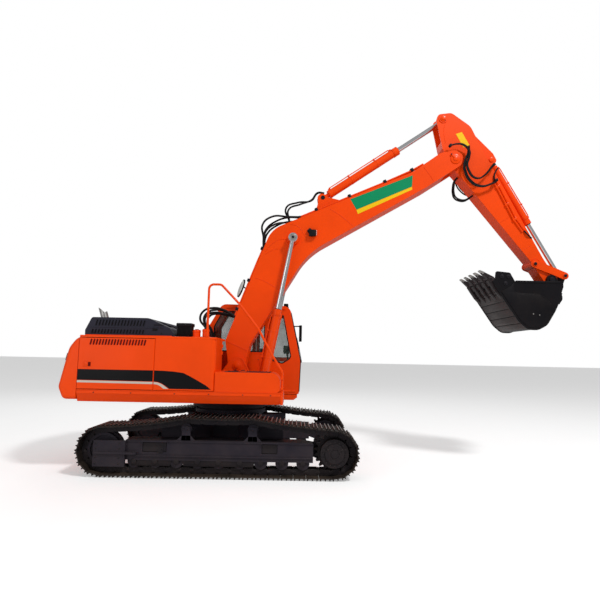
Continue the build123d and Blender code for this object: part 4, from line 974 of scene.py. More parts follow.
def makeDoorTrim():
    seal, handle, stop = (bmesh.new() for _ in range(3))
    face = cab["left"]
    for key in ("doorPane", "doorLow"):
        sealLoop(seal, [(x, face + 0.001, z) for x, z in rounded(cab[key], 4)], 0.009)
    # the leaf's own outline, drawn a little smaller, on its inner side
    leaf = rounded([(x * 0.985 + 0.011, z * 0.985 + 0.031, radius) for x, z, radius in cab["door"]], 4)
    sealLoop(seal, [(x, face - 0.028, z) for x, z in leaf], 0.007)
    addRim(handle, roundedBox(-0.075, 0.075, -0.03, 0.03, 0.01), -0.004, 0.008, 0.007, 0.6,
           Matrix.Translation((1.035, face, 1.858)))
    addBox(handle, (0.985, face + 0.004, 1.85), (1.075, face + 0.018, 1.866), 0.004)
    addDrum(handle, (0.975, face + 0.008, 1.858), (0, 1, 0), 0.01, 0.01, 16, 0.002)
    addBox(stop, (0.36, face, 2.79), (0.42, face + 0.012, 2.815), 0.003)
    makePiece("doorSeals", seal, "cab_door", "black_plastic", "rubber")
    makePiece("doorHandle", handle, "cab_door", "black_plastic")
    makePiece("doorStop", stop, "cab_door", "black_plastic", "dark_steel")


def makeMirrorGlass():
    glassFace, clamp = bmesh.new(), bmesh.new()
    addBox(glassFace, (1.2595, 1.375, 2.27), (1.2625, 1.49, 2.59), 0.001, 1)
    addBox(clamp, (1.2635, 1.358, 2.252), (1.318, 1.507, 2.608), 0.014, 3)
    for z in (2.254, 2.592):
        addBox(clamp, (1.257, 1.36, z), (1.27, 1.505, z + 0.014), 0.004)
    for y in (1.362, 1.496):
        addBox(clamp, (1.257, y, 2.254), (1.27, y + 0.009, 2.606), 0.003)
    addDrum(clamp, (1.085, 1.379, 2.58), (0, 1, 0), 0.03, 0.008, 20, 0.002)
    makePiece("mirrorFace", glassFace, "upper", "glass", "mirrorFace")
    makePiece("mirrorClamp", clamp, "upper", "black_plastic")


def makeControls():
    # boots, switches, display, travel levers and floor mat seen through the panes
    dark, grey, screen = (bmesh.new() for _ in range(3))
    middle = (cab["right"] + cab["left"]) / 2
    for side in sides:
        y = middle + side * 0.325
        for index in range(4):
            shrink = index * 0.009
            addDrum(dark, (0.5, y, 1.858 + index * 0.018), (0, 0, 1), 0.048 - shrink, 0.016, 24, 0.004,
                    top=0.042 - shrink)
        addBox(dark, (0.465, y - 0.028, 2.035), (0.535, y + 0.028, 2.075), 0.014, 3)
        for index in range(5):
            addBox(dark, (0.1 + index * 0.05, y - 0.03, 1.848), (0.135 + index * 0.05, y + 0.03, 1.86), 0.003)
        addBox(dark, (-0.1, y - 0.055, 1.85), (0.28, y + 0.055, 1.905), 0.022, 3)
        foot = middle + side * 0.08
        addTube(dark, [(0.83, foot, 1.36), (0.78, foot, 1.55), (0.74, foot, 1.78)], 0.012)
        addDrum(dark, (0.735, foot, 1.82), (-0.15, 0, 1), 0.022, 0.11, 20, 0.006)
        for step in range(4):
            rise = step * 0.02
            addBox(grey, (0.7615 + rise, foot - 0.045, 1.3 + rise), (0.7735 + rise, foot + 0.045, 1.314 + rise), 0.002)
    # display turned towards the seat
    stand = Vector((1.0, 0.64, 2.0))
    turned = Matrix.Translation(stand) @ Matrix.Rotation(-0.35, 4, "Z") @ Matrix.Translation(-stand)
    addBox(dark, (0.98, 0.53, 1.98), (1.03, 0.75, 2.14), 0.012, 3, turned)
    addBox(screen, (0.972, 0.545, 1.995), (0.981, 0.735, 2.125), 0.002, 1, turned)
    addTube(dark, [(1.02, 0.62, 1.24), (1.04, 0.62, 1.7), (1.02, 0.64, 2.0)], 0.018)
    addBox(grey, (-0.3, 0.56, 1.241), (1.15, 1.28, 1.248), 0.002)
    for index in range(9):
        addBox(grey, (0.35 + index * 0.085, 0.6, 1.247), (0.385 + index * 0.085, 1.24, 1.253), 0.001)
    addBox(dark, (-0.49, 0.53, 1.26), (-0.3, 1.3, 1.95), 0.03, 3)
    addTube(grey, [(-0.3, 0.68, 2.02), (-0.18, 0.67, 1.97), (-0.06, 0.64, 1.82), (-0.08, 0.63, 1.68)], 0.012)
    makePiece("cabControls", dark, "upper", "black_plastic")
    makePiece("cabFloorMat", grey, "upper", "black_plastic", "rubber")
    makePiece("cabDisplay", screen, "upper", "glass", "decalBlack")


makeCabTrim()
makeDoorTrim()
makeMirrorGlass()
makeControls()
print("cab trim done")

# ---- seat cushions: each swells as cloth, then gets its channels
cushion = {"middle": 0.915, "voxel": 0.007, "swell": 4.0, "stiffness": 12.0, "frames": 20, "cap": 0.024,
           "depth": 0.012, "width": 0.009, "fill": 0.75,
           "pads": {"seatPad": {"line": ((-0.045, 1.66, 0.03), (0.425, 1.66, 0.045),
                                         (0.425, 1.73, 0.035), (-0.045, 1.73, 0.03)),
                                "half": 0.222, "channels": (-0.13, 0.13), "faces": (0, 0, 1)},
                    "backPad": {"line": ((-0.08, 1.775, 0.02), (0.012, 1.775, 0.035),
                                         (-0.052, 2.31, 0.03), (-0.137, 2.31, 0.02)),
                                "half": 0.203, "channels": (-0.12, 0.12), "faces": (1, 0, 0.12)},
                    "headPad": {"line": ((-0.155, 2.36, 0.016), (-0.086, 2.36, 0.025),
                                         (-0.098, 2.515, 0.025), (-0.155, 2.515, 0.016)),
                                "half": 0.118, "channels": (), "faces": (1, 0, 0.05)}}}


def makeCushion(name, pad):
    bm = bmesh.new()
    middle, half = cushion["middle"], pad["half"]
    addProfile(bm, rounded(pad["line"], 4), middle - half, middle + half, 0.012)
    piece = bpy.data.objects.new(name, toMesh(bm, name))
    bpy.context.collection.objects.link(piece)
    bpy.context.view_layer.objects.active = piece
    remesh = piece.modifiers.new("grid", "REMESH")
    remesh.mode = "VOXEL"
    remesh.voxel_size = cushion["voxel"]
    bpy.ops.object.modifier_apply(modifier=remesh.name)
    rest = [vert.co.copy() for vert in piece.data.vertices]
    cloth = piece.modifiers.new("swell", "CLOTH")
    cloth.settings.use_pressure = True
    cloth.settings.uniform_pressure_force = cushion["swell"]
    cloth.settings.effector_weights.gravity = 0.0
    cloth.settings.tension_stiffness = cloth.settings.compression_stiffness = cushion["stiffness"]
    scene.frame_start, scene.frame_end = 1, cushion["frames"]
    for step in range(1, cushion["frames"] + 1):
        scene.frame_set(step)
    swollen = piece.evaluated_get(bpy.context.evaluated_depsgraph_get())
    moved = [vert.co.copy() for vert in swollen.to_mesh().vertices]
    swollen.to_mesh_clear()
    piece.modifiers.remove(cloth)
    scene.frame_set(1)
    for vert, before, after in zip(piece.data.vertices, rest, moved):
        shift = after - before
        vert.co = before + shift * min(1.0, cushion["cap"] / max(shift.length, 1e-9))
    facing = Vector(pad["faces"]).normalized()
    for vert in piece.data.vertices:
        press = vert.normal.dot(facing)
        if press <= 0.35:
            continue
        for channel in pad["channels"]:
            away = (vert.co.y - middle - channel) / cushion["width"]
            vert.co -= facing * press * cushion["depth"] * math.exp(-away * away)
    for face in piece.data.polygons:
        face.use_smooth = True
    smooth = piece.modifiers.new("smooth", "SUBSURF")
    smooth.levels = smooth.render_levels = 1
    bpy.ops.object.modifier_apply(modifier=smooth.name)
    piece.data.materials.append(finishes["seat_fabric"])
    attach(piece, "upper")
    return piece


def makeCushions():
    pads = [makeCushion(name, pad) for name, pad in cushion["pads"].items()]
    for pad in pads:
        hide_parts("seat_cushions")


makeCushions()
print("cushions done")

# ---- boom: pipes, hoses, welds, lamp, label
boom = {"half": 0.235,
        "top": ((-0.12, 0.12), (0.15, 0.49), (1.75, 1.225), (2.0, 1.325), (2.2, 1.365), (2.45, 1.345), (2.75, 1.24),
                (4.5, 0.578), (4.99, 0.405), (5.3, 0.333), (5.62, 0.283)),
        "label": ((3.66, 0.6), (3.72, 0.83), (4.93, 0.34), (4.76, 0.19)),
        "labelEdge": ((3.62, 0.52), (3.655, 0.598), (4.758, 0.188), (4.72, 0.145)),
        "pipeY": (-0.205, -0.155, 0.155, 0.205), "pipe": 0.017, "lift": 0.019,
        "clamps": (0.72, 1.25, 1.85, 3.1, 3.75, 4.45, 5.0),
        "welds": (((2.545, 1.27), (2.6, 1.18), (2.625, 1.08), (2.59, 0.906)),
                  ((1.84, 1.2), (1.96, 1.225), (2.086, 1.22), (2.2, 1.18), (2.3, 1.09)),
                  ((1.805, 1.17), (1.9, 1.15), (2.021, 1.1), (2.097, 1.021)),
                  ((0.156, 0.47), (0.23, 0.3), (0.32, 0.07)), ((1.358, 0.97), (1.44, 0.8), (1.53, 0.47)),
                  ((3.3, 0.96), (3.36, 0.72), (3.39, 0.42)), ((5.2, 0.31), (5.17, 0.1), (5.14, -0.03)))}


def boomTopAt(x):
    # height of the boom's upper edge, in its own frame
    for (x1, z1), (x2, z2) in zip(boom["top"], boom["top"][1:]):
        if x <= x2:
            return z1 + (z2 - z1) * (x - x1) / (x2 - x1)
    return boom["top"][-1][1]


def addBead(bm, points, y, radius=0.006, place=identity):
    # weld bead: a low round run on a side face
    addTube(bm, [(x, y, z) for x, z in points], radius, place, steps=6, sides=1)


def makeBoomPipes():
    paint, clamp, hose = (bmesh.new() for _ in range(3))

    def over(x, y, height=boom["lift"]):
        return (x, y, boomTopAt(x) + height)

    for y in boom["pipeY"]:
        for run in ((0.57, 0.8, 1.2, 1.6, 1.86), (2.78, 3.3, 3.9, 4.5, 5.0, 5.25)):
            addTube(paint, [over(x, y) for x in run], boom["pipe"], boomSpace, smooth=False)
        for x in (0.58, 1.86, 2.78):
            addDrum(clamp, over(x, y), (1, 0, 0.47 if x < 2 else -0.38), 0.026, 0.04, 6, 0.003, place=boomSpace)
    for x in boom["clamps"]:
        for y in (-0.18, 0.18):
            slope = (boomTopAt(x + 0.05) - boomTopAt(x - 0.05)) / 0.1
            place = boomSpace @ Matrix.Translation(over(x, y, 0.0)) @ Matrix.Rotation(-math.atan(slope), 4, "Y")
            addBox(clamp, (-0.028, -0.052, -0.004), (0.028, 0.052, 0.06), 0.005, place=place)
            addBolt(clamp, (0, 0, 0.06), (0, 0, 1), 0.009, place)
    # hoses over the boom's hump, joining the pipe runs and feeding the arm cylinder
    for index, y in enumerate(boom["pipeY"]):
        high = (0.26, 0.17, 0.15, 0.22)[index]
        middle = y * (1.12 if index in (0, 3) else 0.8)
        addTube(hose, [over(1.86, y), over(2.0, y, 0.11), (2.16, middle, 1.365 + high), (2.4, middle, 1.35 + high),
                       over(2.62, y, 0.12), over(2.78, y)], 0.019, boomSpace)
    for y, high in ((-0.12, 0.22), (-0.07, 0.29)):
        addTube(hose, [over(2.6, y, 0.06), (2.74, y, 1.3 + high), (2.98, y, 1.22 + high), (3.2, y * 0.8, 1.36),
                       (3.4, y * 0.6, 1.385), (3.49, y * 0.4, 1.3)], 0.018, boomSpace)
    makePiece("boomPipes", paint, "boom", "orange_paint")
    makePiece("boomClamps", clamp, "boom", "dark_steel")
    makePiece("boomHoses", hose, "boom", "black_plastic", "rubber")


def makeBoomFace():
    label, edge, bead, boss, bolt, lensBack, lensFace = (bmesh.new() for _ in range(7))
    x = 5.77
    for side in sides:
        face = side * boom["half"]
        addProfile(label, boom["label"], face, face + side * decalDepth, 0.0, boomSpace)
        addProfile(edge, boom["labelEdge"], face, face + side * decalDepth, 0.0, boomSpace)
        for run in boom["welds"] + (ringLine(2.38, 1.016, 0.125),):
            addBead(bead, run, face, place=boomSpace)
        # cap of the tip's pin and the bar that keeps it
        addDrum(boss, (x, face + side * 0.006, 0.0), (0, 1, 0), 0.098, 0.014, 36, 0.004, place=boomSpace)
        addDrum(boss, (x, face + side * 0.014, 0.0), (0, 1, 0), 0.047, 0.016, 28, 0.004, place=boomSpace)
        addBox(boss, (x - 0.012, face + side * 0.012, 0.03), (x + 0.012, face + side * 0.026, 0.14), 0.003,
               place=boomSpace)
        addBolt(bolt, (x, face + side * 0.026, 0.12), (0, side, 0), 0.014, boomSpace)
    # work lamp under the elbow, right-hand side
    y = -(boom["half"] + 0.05)
    lampLine = rounded([(2.631, 0.845, 0.02), (2.731, 0.752, 0.02), (2.815, 0.838, 0.02), (2.715, 0.931, 0.02)], 3)
    addProfile(lensBack, lampLine, y - 0.035, y + 0.035, 0.0015, boomSpace)
    addBox(lensFace, (-0.05, -0.028, -0.003), (0.05, 0.028, 0.004), 0.003,
           place=boomSpace @ Matrix.Translation((2.7765, y, 0.7925)) @ Matrix.Rotation(math.radians(-46), 4, "Y")
           @ Matrix.Translation((0, 0, -0.004)))
    addBox(bolt, (2.68, y, 0.9), (2.76, -boom["half"] + 0.002, 0.95), 0.005, place=boomSpace)
    # oval rear-view glass in its dark rim, on a stem from the rear slope
    oval = (boomSpace @ Matrix.Translation((1.03, -0.14, 1.02)) @ Matrix.Rotation(math.radians(-27), 4, "Y")
            @ Matrix.Rotation(math.radians(28), 4, "X") @ Matrix.Diagonal((1.8, 0.9, 1.0, 1.0)))
    addDrum(lensBack, (0, 0, 0), (0, 0, 1), 0.1, 0.03, 32, 0.01, place=oval)
    # the mirror's pale face is a painted reflection, given the lamps' lens finish
    addDrum(lensFace, (0, 0, 0.016), (0, 0, 1), 0.088, 0.006, 32, 0.002, place=oval)
    addTube(lensBack, [(1.1, -0.14, boomTopAt(1.1) - 0.01), (1.08, -0.14, 1.01)], 0.012, boomSpace, smooth=False)
    makePiece("boomLabel", label, "boom", "orange_paint", "labelGreen")
    makePiece("boomLabelEdge", edge, "boom", "orange_paint", "labelYellow")
    makePiece("boomWelds", bead, "boom", "orange_paint")
    makePiece("boomBosses", boss, "boom", "orange_paint")
    makePiece("boomPinBolts", bolt, "boom", "dark_steel")
    makePiece("lampBody", lensBack, "boom", "black_plastic")
    makePiece("lampGlass", lensFace, "boom", "glass", "lens")


def makeFootHoses():
    # hoses looping from the swing centre up to the boom's pipes, curving round the boom's foot
    bm = bmesh.new()
    wide = ((-0.4, 1.35), (-0.4, 2.1), (-0.5, 2.42), (-0.61, 2.59), (-0.55, 2.74), (-0.38, 2.8), (-0.18, 2.77))
    tight = ((-0.37, 1.35), (-0.37, 2.1), (-0.44, 2.4), (-0.53, 2.56), (-0.48, 2.68), (-0.34, 2.72), (-0.17, 2.7))
    for line, outY in ((wide, -0.205), (tight, -0.155), (tight, 0.155), (wide, 0.205)):
        top = boomSpace @ Vector((0.58, outY, boomTopAt(0.58) + 0.022))
        points = [(x, outY * 0.9, z) for x, z in line] + [tuple(top)]
        addTube(bm, points, 0.021, steps=10)
    makePiece("footHoses", bm, "upper", "black_plastic", "rubber",
              bend=("boom", (-0.46, 0.0, 2.3), (-0.04, 0.0, 2.72)))


def makeFootTrim():
    paint, dark, bolt = (bmesh.new() for _ in range(3))
    for side in sides:
        outer = side * 0.295
        # caps on the pins of the boom and of its cylinders
        for x, y, z, radius in ((0.12, outer, 1.74, 0.085), (0.573, side * 0.46, 1.35, 0.07)):
            addDrum(paint, (x, y + side * 0.006, z), (0, 1, 0), radius, 0.012, 32, 0.004)
            addDrum(paint, (x, y + side * 0.018, z), (0, 1, 0), 0.046, 0.014, 24, 0.003)
        addBead(paint, ((-0.44, 1.2), (-0.26, 1.46), (-0.17, 1.6), (-0.04, 1.79)), outer, 0.007)
        addBead(paint, ((0.2, 1.87), (0.3, 1.7), (0.4, 1.5)), outer, 0.007)
    # grease block on the right-hand plate with its three thin hoses
    addBox(paint, (-0.085, -0.318, 1.415), (0.09, -0.294, 1.47), 0.005)
    for index, x in enumerate((-0.05, 0.0, 0.05)):
        addDrum(bolt, (x, -0.305, 1.44), (0, 1, 0), 0.011, 0.022, 6, 0.002)
        addTube(dark, [(x, -0.318, 1.44), (x, -0.35, 1.48), (x * 0.6 + 0.05, -0.33, 1.6 + index * 0.02),
                       (0.11, -0.312, 1.67)], 0.006, steps=6)
    # control valve seen between the foot plates, with its spools and fittings
    addBox(dark, (-0.9, -0.24, 1.3), (-0.52, 0.24, 1.62), 0.02, 3)
    for index in range(6):
        y = -0.19 + index * 0.075
        addBox(dark, (-0.93, y - 0.02, 1.34), (-0.88, y + 0.02, 1.58), 0.008)
        addDrum(bolt, (-0.5, y, 1.53), (1, 0, 0), 0.022, 0.05, 6, 0.003)
    # swing motor with its gear case beside the bearing
    addDrum(dark, (-0.72, 0.0, 1.25), (0, 0, 1), 0.2, 0.12, 36, 0.01)
    makePiece("footCaps", paint, "upper", "orange_paint")
    makePiece("footBolts", bolt, "upper", "dark_steel")
    makePiece("valveBlock", dark, "upper", "black_plastic", "dark_steel")


makeBoomPipes()
makeBoomFace()
makeFootHoses()
makeFootTrim()
print("boom done")

# ---- arm
arm = {"half": 0.165, "label": ((-0.407, 0.356), (-0.368, 0.479), (-0.063, 0.43), (-0.1, 0.307)),
       "welds": (((-0.719, 0.356), (-0.619, 0.222), (-0.379, 0.07)), ((0.842, -0.09), (0.852, 0.124), (0.886, 0.332)),
                 ((2.18, -0.02), (2.2, 0.08), (2.19, 0.19)), ((1.5, -0.06), (1.52, 0.1), (1.53, 0.29))),
       "rodPin": (-0.8, 0.35), "bucketPin": (0.41, 0.64), "pipe": 0.019}


def makeArmFace():
    label, bead, boss, bolt = (bmesh.new() for _ in range(4))
    for side in sides:
        face = side * arm["half"]
        addProfile(label, arm["label"], face, face + side * decalDepth, 0.0, armSpace)
        for run in arm["welds"]:
            addBead(bead, run, face, 0.004, armSpace)
        x, z = arm["rodPin"]
        addDrum(boss, (x, face + side * 0.017, z), (0, 1, 0), 0.058, 0.012, 32, 0.003, place=armSpace)
        addDrum(boss, (x, face + side * 0.026, z), (0, 1, 0), 0.034, 0.01, 24, 0.003, place=armSpace)
        addBolt(bolt, (x + 0.05, face + side * 0.02, z), (0, side, 0), 0.01, armSpace)
        x, z = arm["bucketPin"]
        addDrum(boss, (x, side * 0.096, z), (0, 1, 0), 0.05, 0.012, 28, 0.003, place=armSpace)
        addBead(bead, ringLine(2.523, -0.02, 0.088), face, 0.005, armSpace)
    makePiece("armLabel", label, "arm", "orange_paint", "labelYellow")
    makePiece("armWelds", bead, "arm", "orange_paint")
    makePiece("armBosses", boss, "arm", "orange_paint")
    makePiece("armPinBolts", bolt, "arm", "dark_steel")


def makeArmPipes():
    paint, clamp, hose = (bmesh.new() for _ in range(3))
    for side in sides:
        face = side * arm["half"]
        y = face + side * 0.016
        for drop in (0.0, 0.055):
            line = [(0.83, y, 0.385 - drop), (0.98, y, 0.362 - drop), (1.6, y, 0.232 - drop),
                    (1.9, y * 0.98, 0.215 - drop)]
            addTube(paint, line, arm["pipe"], armSpace, smooth=False)
        for x, z in ((0.92, 0.35), (1.3, 0.27), (1.62, 0.205)):
            addBox(clamp, (x - 0.022, face - side * 0.002, z - 0.055), (x + 0.022, face + side * 0.036, z + 0.045),
                   0.004, place=armSpace)
            addBolt(clamp, (x, face + side * 0.036, z - 0.005), (0, side, 0), 0.009, armSpace)
        # hoses at both ends of the pipes
        for line in ([(1.9, y, 0.2), (2.0, y * 1.08, 0.2), (2.1, y * 0.9, 0.235)],
                     [(0.83, y, 0.36), (0.73, y * 1.05, 0.4), (0.66, y * 0.9, 0.5), (0.62, y * 0.62, 0.62)]):
            addTube(hose, line, 0.015, armSpace)
    makePiece("armPipes", paint, "arm", "orange_paint")
    makePiece("armClamps", clamp, "arm", "orange_paint")
    makePiece("armHoses", hose, "arm", "black_plastic", "rubber")


def makeTipHoses():
    # hoses crossing from the boom's side to the arm's, past the arm's foot
    crossing, loop, clamp, bracket = (bmesh.new() for _ in range(4))
    first = ((-0.271, 0.064), (-0.21, 0.216), (-0.125, 0.298), (0.036, 0.311), (0.139, 0.221), (0.223, 0.109),
             (0.359, 0.053), (0.498, 0.052), (0.58, 0.13), (0.589, 0.278), (0.552, 0.433), (0.519, 0.54))
    second = ((-0.05, 0.36), (0.05, 0.28), (0.101, 0.193), (0.2, 0.06), (0.306, -0.007), (0.526, -0.046),
              (0.72, 0.049), (0.81, 0.275), (0.825, 0.37))
    for side in sides:
        for points, y, drop in ((first, 0.262, 0.0), (first, 0.3, 0.04), (second, 0.275, 0.0), (second, 0.285, 0.036)):
            addTube(crossing, [armSpace @ Vector((x, side * y, z - drop)) for x, z in points], 0.0155, steps=6)
        for x, z in ((0.54, 0.5), (0.8, 0.345)):
            addBox(clamp, (x - 0.02, side * arm["half"], z - 0.03), (x + 0.02, side * 0.31, z + 0.03), 0.005,
                   place=armSpace)
        addBox(bracket, (-0.29, side * 0.23, 0.04), (-0.24, side * 0.315, 0.09), 0.005, place=armSpace)
    # pair hanging in a loop under the arm's foot
    hang = ((0.3, -0.08), (0.305, -0.15), (0.335, -0.215), (0.38, -0.266), (0.485, -0.355), (0.584, -0.39),
            (0.67, -0.358), (0.741, -0.279), (0.757, -0.2), (0.76, -0.085))
    for y in (-0.05, 0.03):
        addTube(loop, [(x, y, z) for x, z in hang], 0.017, armSpace, steps=6)
    makePiece("tipHoses", crossing, "boom", "black_plastic", "rubber",
              bend=("arm", tuple(armPoint(-0.05, 0.2)), tuple(armPoint(0.35, 0.2))))
    makePiece("underHoses", loop, "arm", "black_plastic", "rubber",
              bend=("boom", tuple(armPoint(0.55, -0.1)), tuple(armPoint(0.55, -0.78))))
    makePiece("tipClamps", clamp, "arm", "dark_steel")
    makePiece("tipBrackets", bracket, "boom", "dark_steel")


makeArmFace()
makeArmPipes()
makeTipHoses()
print("arm done")

# ---- cylinders
cylinders = {"boom": {"barrel": "boom_cylinders", "rod": "boom_rods", "foot": Vector((0.573, 0.0, 1.35)),
                      "head": boomPoint(2.38, 1.016), "ys": (-0.37, 0.37), "outer": 0.07, "shaft": 0.0425,
                      "gland": 1.456, "eye": 0.085, "cap": True},
             "arm": {"barrel": "arm_cylinder", "rod": "arm_rod", "foot": boomPoint(3.4, 1.245),
                     "head": armPoint(*arm["rodPin"]), "ys": (0.0,), "outer": 0.08, "shaft": 0.0475,
                     "gland": 1.795, "eye": 0.085, "cap": False},
             "bucket": {"barrel": "bucket_cylinder", "rod": "bucket_rod", "foot": armPoint(*arm["bucketPin"]),
                        "head": armPoint(3.04, 0.264), "ys": (0.0,), "outer": 0.07, "shaft": 0.0425,
                        "gland": 1.461, "eye": 0.075, "cap": False}}


def makeCylinderTrim():
    for name, size in cylinders.items():
        paint, steel = bmesh.new(), bmesh.new()
        line = spaceBetween(size["foot"], size["head"])
        length = (size["head"] - size["foot"]).length
        outer, gland, eye = size["outer"], size["gland"], size["eye"]
        high, start, end = outer + 0.03, eye + 0.13, gland - 0.13
        for y in size["ys"]:
            place = Matrix.Translation((0, y, 0)) @ line
            # gland: wiper, bolts and its flange; clamps and the feed pipe along the barrel
            boltRing(steel, (gland, 0, 0), (1, 0, 0), outer - 0.012, 8, 0.0095, place)
            addDrum(steel, (gland + 0.006, 0, 0), (1, 0, 0), size["shaft"] + 0.009, 0.014, 28, 0.003, place=place)
            addCollar(paint, eye + 0.085, outer + 0.004, 0.03, 0.003, place)
            addCollar(paint, gland - 0.112, outer + 0.0085, 0.018, 0.003, place)
            addTube(paint, [(start, 0, outer + 0.002), (start + 0.01, 0, high), (gland - 0.16, 0, high),
                            (end, 0, outer + 0.002)], 0.0115, place, smooth=False)
            for x in (start, end):
                addBox(paint, (x - 0.026, -0.026, outer - 0.004), (x + 0.026, 0.026, outer + 0.02), 0.005, place=place)
                for across in (0.016, -0.016):
                    addBolt(steel, (x, across, outer + 0.02), (0, 0, 1), 0.006, place)
            for share in (0.38, 0.72):
                x = gland * share
                addCollar(paint, x, outer + 0.003, 0.024, 0.001, place)
                addBox(paint, (x - 0.012, -0.02, outer), (x + 0.012, 0.02, high + 0.014), 0.003, place=place)
            # grease nipple on each eye
            addDrum(steel, (-eye * 0.72, 0, -eye * 0.72), (-1, 0, -1), 0.007, 0.022, 6, 0.001, place=place)
        if size["cap"]:
            caps, centres = bmesh.new(), bmesh.new()
            for y in size["ys"]:
                place = Matrix.Translation((0, y, 0)) @ line
                side = 1 if y > 0 else -1
                addDrum(caps, (length, side * 0.051, 0), (0, 1, 0), 0.062, 0.012, 32, 0.003, place=place)
                addBolt(centres, (length, side * 0.057, 0), (0, side, 0), 0.024, place)
            makePiece(name + "RodCaps", caps, size["rod"], "tooth_steel", "polished")
            makePiece(name + "RodBolts", centres, size["rod"], "dark_steel")
        makePiece(name + "CylinderFittings", paint, size["barrel"], "orange_paint")
        makePiece(name + "CylinderBolts", steel, size["barrel"], "dark_steel")


makeCylinderTrim()
print("cylinders done")

# ---- bucket and its linkage
bucket = {"half": 0.6, "strips": 6, "stripGap": 0.16, "stripWidth": 0.145,
          "shell": [(-1.237, -0.169, 0.0), (-0.802, -0.835, 0.16), (-0.648, -0.965, 0.12), (-0.475, -0.972, 0.16),
                    (-0.315, -0.884, 0.16), (-0.165, -0.64, 0.2), (-0.07, -0.44, 0.12), (0.015, -0.19, 0.0)],
          "teeth": 5, "spread": 1.04, "toothWidth": 0.09}


def shellLine():
    # the shell's outer line from lip to back, rounded at its corners
    closed = rounded([*bucket["shell"], (0.0, 0.3, 0.0), (-1.2, 0.3, 0.0)], 5)
    first, last = (min(range(len(closed)), key=lambda k: math.dist(closed[k], end[:2]))
                   for end in (bucket["shell"][0], bucket["shell"][-1]))
    return closed[first:last + 1]


def makeShellSkin():
    # wear strips across the shell and the bars welded along its side edges
    line = [Vector(point) for point in shellLine()]
    inside = Vector((-0.6, -0.4))
    strips, bars = bmesh.new(), bmesh.new()
    lengths = [0.0]
    for first, second in zip(line, line[1:]):
        lengths.append(lengths[-1] + (second - first).length)

    def along(distance):
        for index in range(len(line) - 1):
            if distance <= lengths[index + 1] or index == len(line) - 2:
                share = (distance - lengths[index]) / (lengths[index + 1] - lengths[index])
                return line[index].lerp(line[index + 1], share), (line[index + 1] - line[index]).normalized()

    def plate(bm, start, end, y1, y2, thick, bevel):
        count = max(2, int((end - start) / 0.04))
        outer, inner = [], []
        for step in range(count + 1):
            spot, onward = along(start + (end - start) * step / count)
            out = Vector((-onward.y, onward.x))
            out = out if (spot + out - inside).length > (spot - out - inside).length else -out
            outer.append(tuple(spot + out * thick))
            inner.append(tuple(spot - out * 0.004))
        addProfile(bm, inner + outer[::-1], y1, y2, bevel, bucketSpace)

    for index in range(bucket["strips"]):
        start = 0.04 + index * bucket["stripGap"]
        plate(strips, start, start + bucket["stripWidth"], -0.565, 0.565, 0.01, 0.002)
    for side in sides:
        plate(bars, 0.02, lengths[-1] - 0.12, side * 0.568, side * 0.602, 0.016, 0.004)
    makePiece("shellStrips", strips, "bucket", "bucket_paint", "shellSteel")
    makePiece("shellBars", bars, "bucket", "bucket_paint")


def makeBucketSides():
    plates, steel, bead, spots = (bmesh.new() for _ in range(4))
    cheek = rounded([(-0.886, -0.128, 0.01), (-0.872, -0.305, 0.02), (-0.637, -0.333, 0.06), (-0.415, -0.352, 0.08),
                     (-0.28, -0.453, 0.1), (-0.174, -0.59, 0.05), (-0.21, -0.66, 0.03), (-0.35, -0.855, 0.12),
                     (-0.48, -0.94, 0.12), (-0.64, -0.935, 0.1), (-0.78, -0.82, 0.12), (-1.12, -0.3, 0.02),
                     (-0.95, -0.2, 0.02)], 3)
    for side in sides:
        face = side * bucket["half"]
        # lower cheek plate with its weld, side cutter bolts, edge bar along the mouth
        addProfile(plates, cheek, face - side * 0.002, face + side * 0.008, 0.002, bucketSpace)
        addBead(bead, ((-0.886, -0.116), (-0.87, -0.311), (-0.637, -0.335), (-0.415, -0.352), (-0.28, -0.453),
                       (-0.174, -0.59)), face + side * 0.003, 0.008, bucketSpace)
        addBox(plates, (-0.85, face - side * 0.03, -0.13), (-0.03, face + side * 0.009, -0.09), 0.004,
               place=bucketSpace)
        for x, z in ((-1.035, -0.147), (-1.1, -0.02), (-0.98, -0.02)):
            addDrum(steel, (x, face + side * 0.003, z), (0, 1, 0), 0.04, 0.008, 24, 0.002, place=bucketSpace)
            addBolt(steel, (x, face + side * 0.006, z), (0, side, 0), 0.022, bucketSpace)
        for x, z in ((-0.552, -0.694), (-0.442, -0.712)):
            addDrum(spots, (x, face + side * 0.009, z), (0, 1, 0), 0.012, 0.004, 12, 0.001, place=bucketSpace)
        # pin caps of the ears and their keeper bars
        for x, z in ((0.0, 0.0), (0.1073, -0.3537)):
            y = side * 0.237
            addDrum(steel, (x, y + side * 0.008, z), (0, 1, 0), 0.05, 0.014, 24, 0.003, place=bucketSpace)
            addBox(plates, (x - 0.015, y, z - 0.115), (x + 0.015, y + side * 0.016, z - 0.03), 0.003,
                   place=bucketSpace)
            addBolt(steel, (x, y + side * 0.016, z - 0.1), (0, side, 0), 0.014, bucketSpace)
        addBead(bead, ((-0.14, -0.585), (-0.07, -0.425), (0.005, -0.2)), side * 0.228, 0.008, bucketSpace)
    makePiece("bucketPlates", plates, "bucket", "bucket_paint")
    makePiece("bucketBolts", steel, "bucket", "dark_steel")
    makePiece("bucketWelds", bead, "bucket", "bucket_paint")
    makePiece("bucketMarks", spots, "bucket", "tooth_steel", "polished")


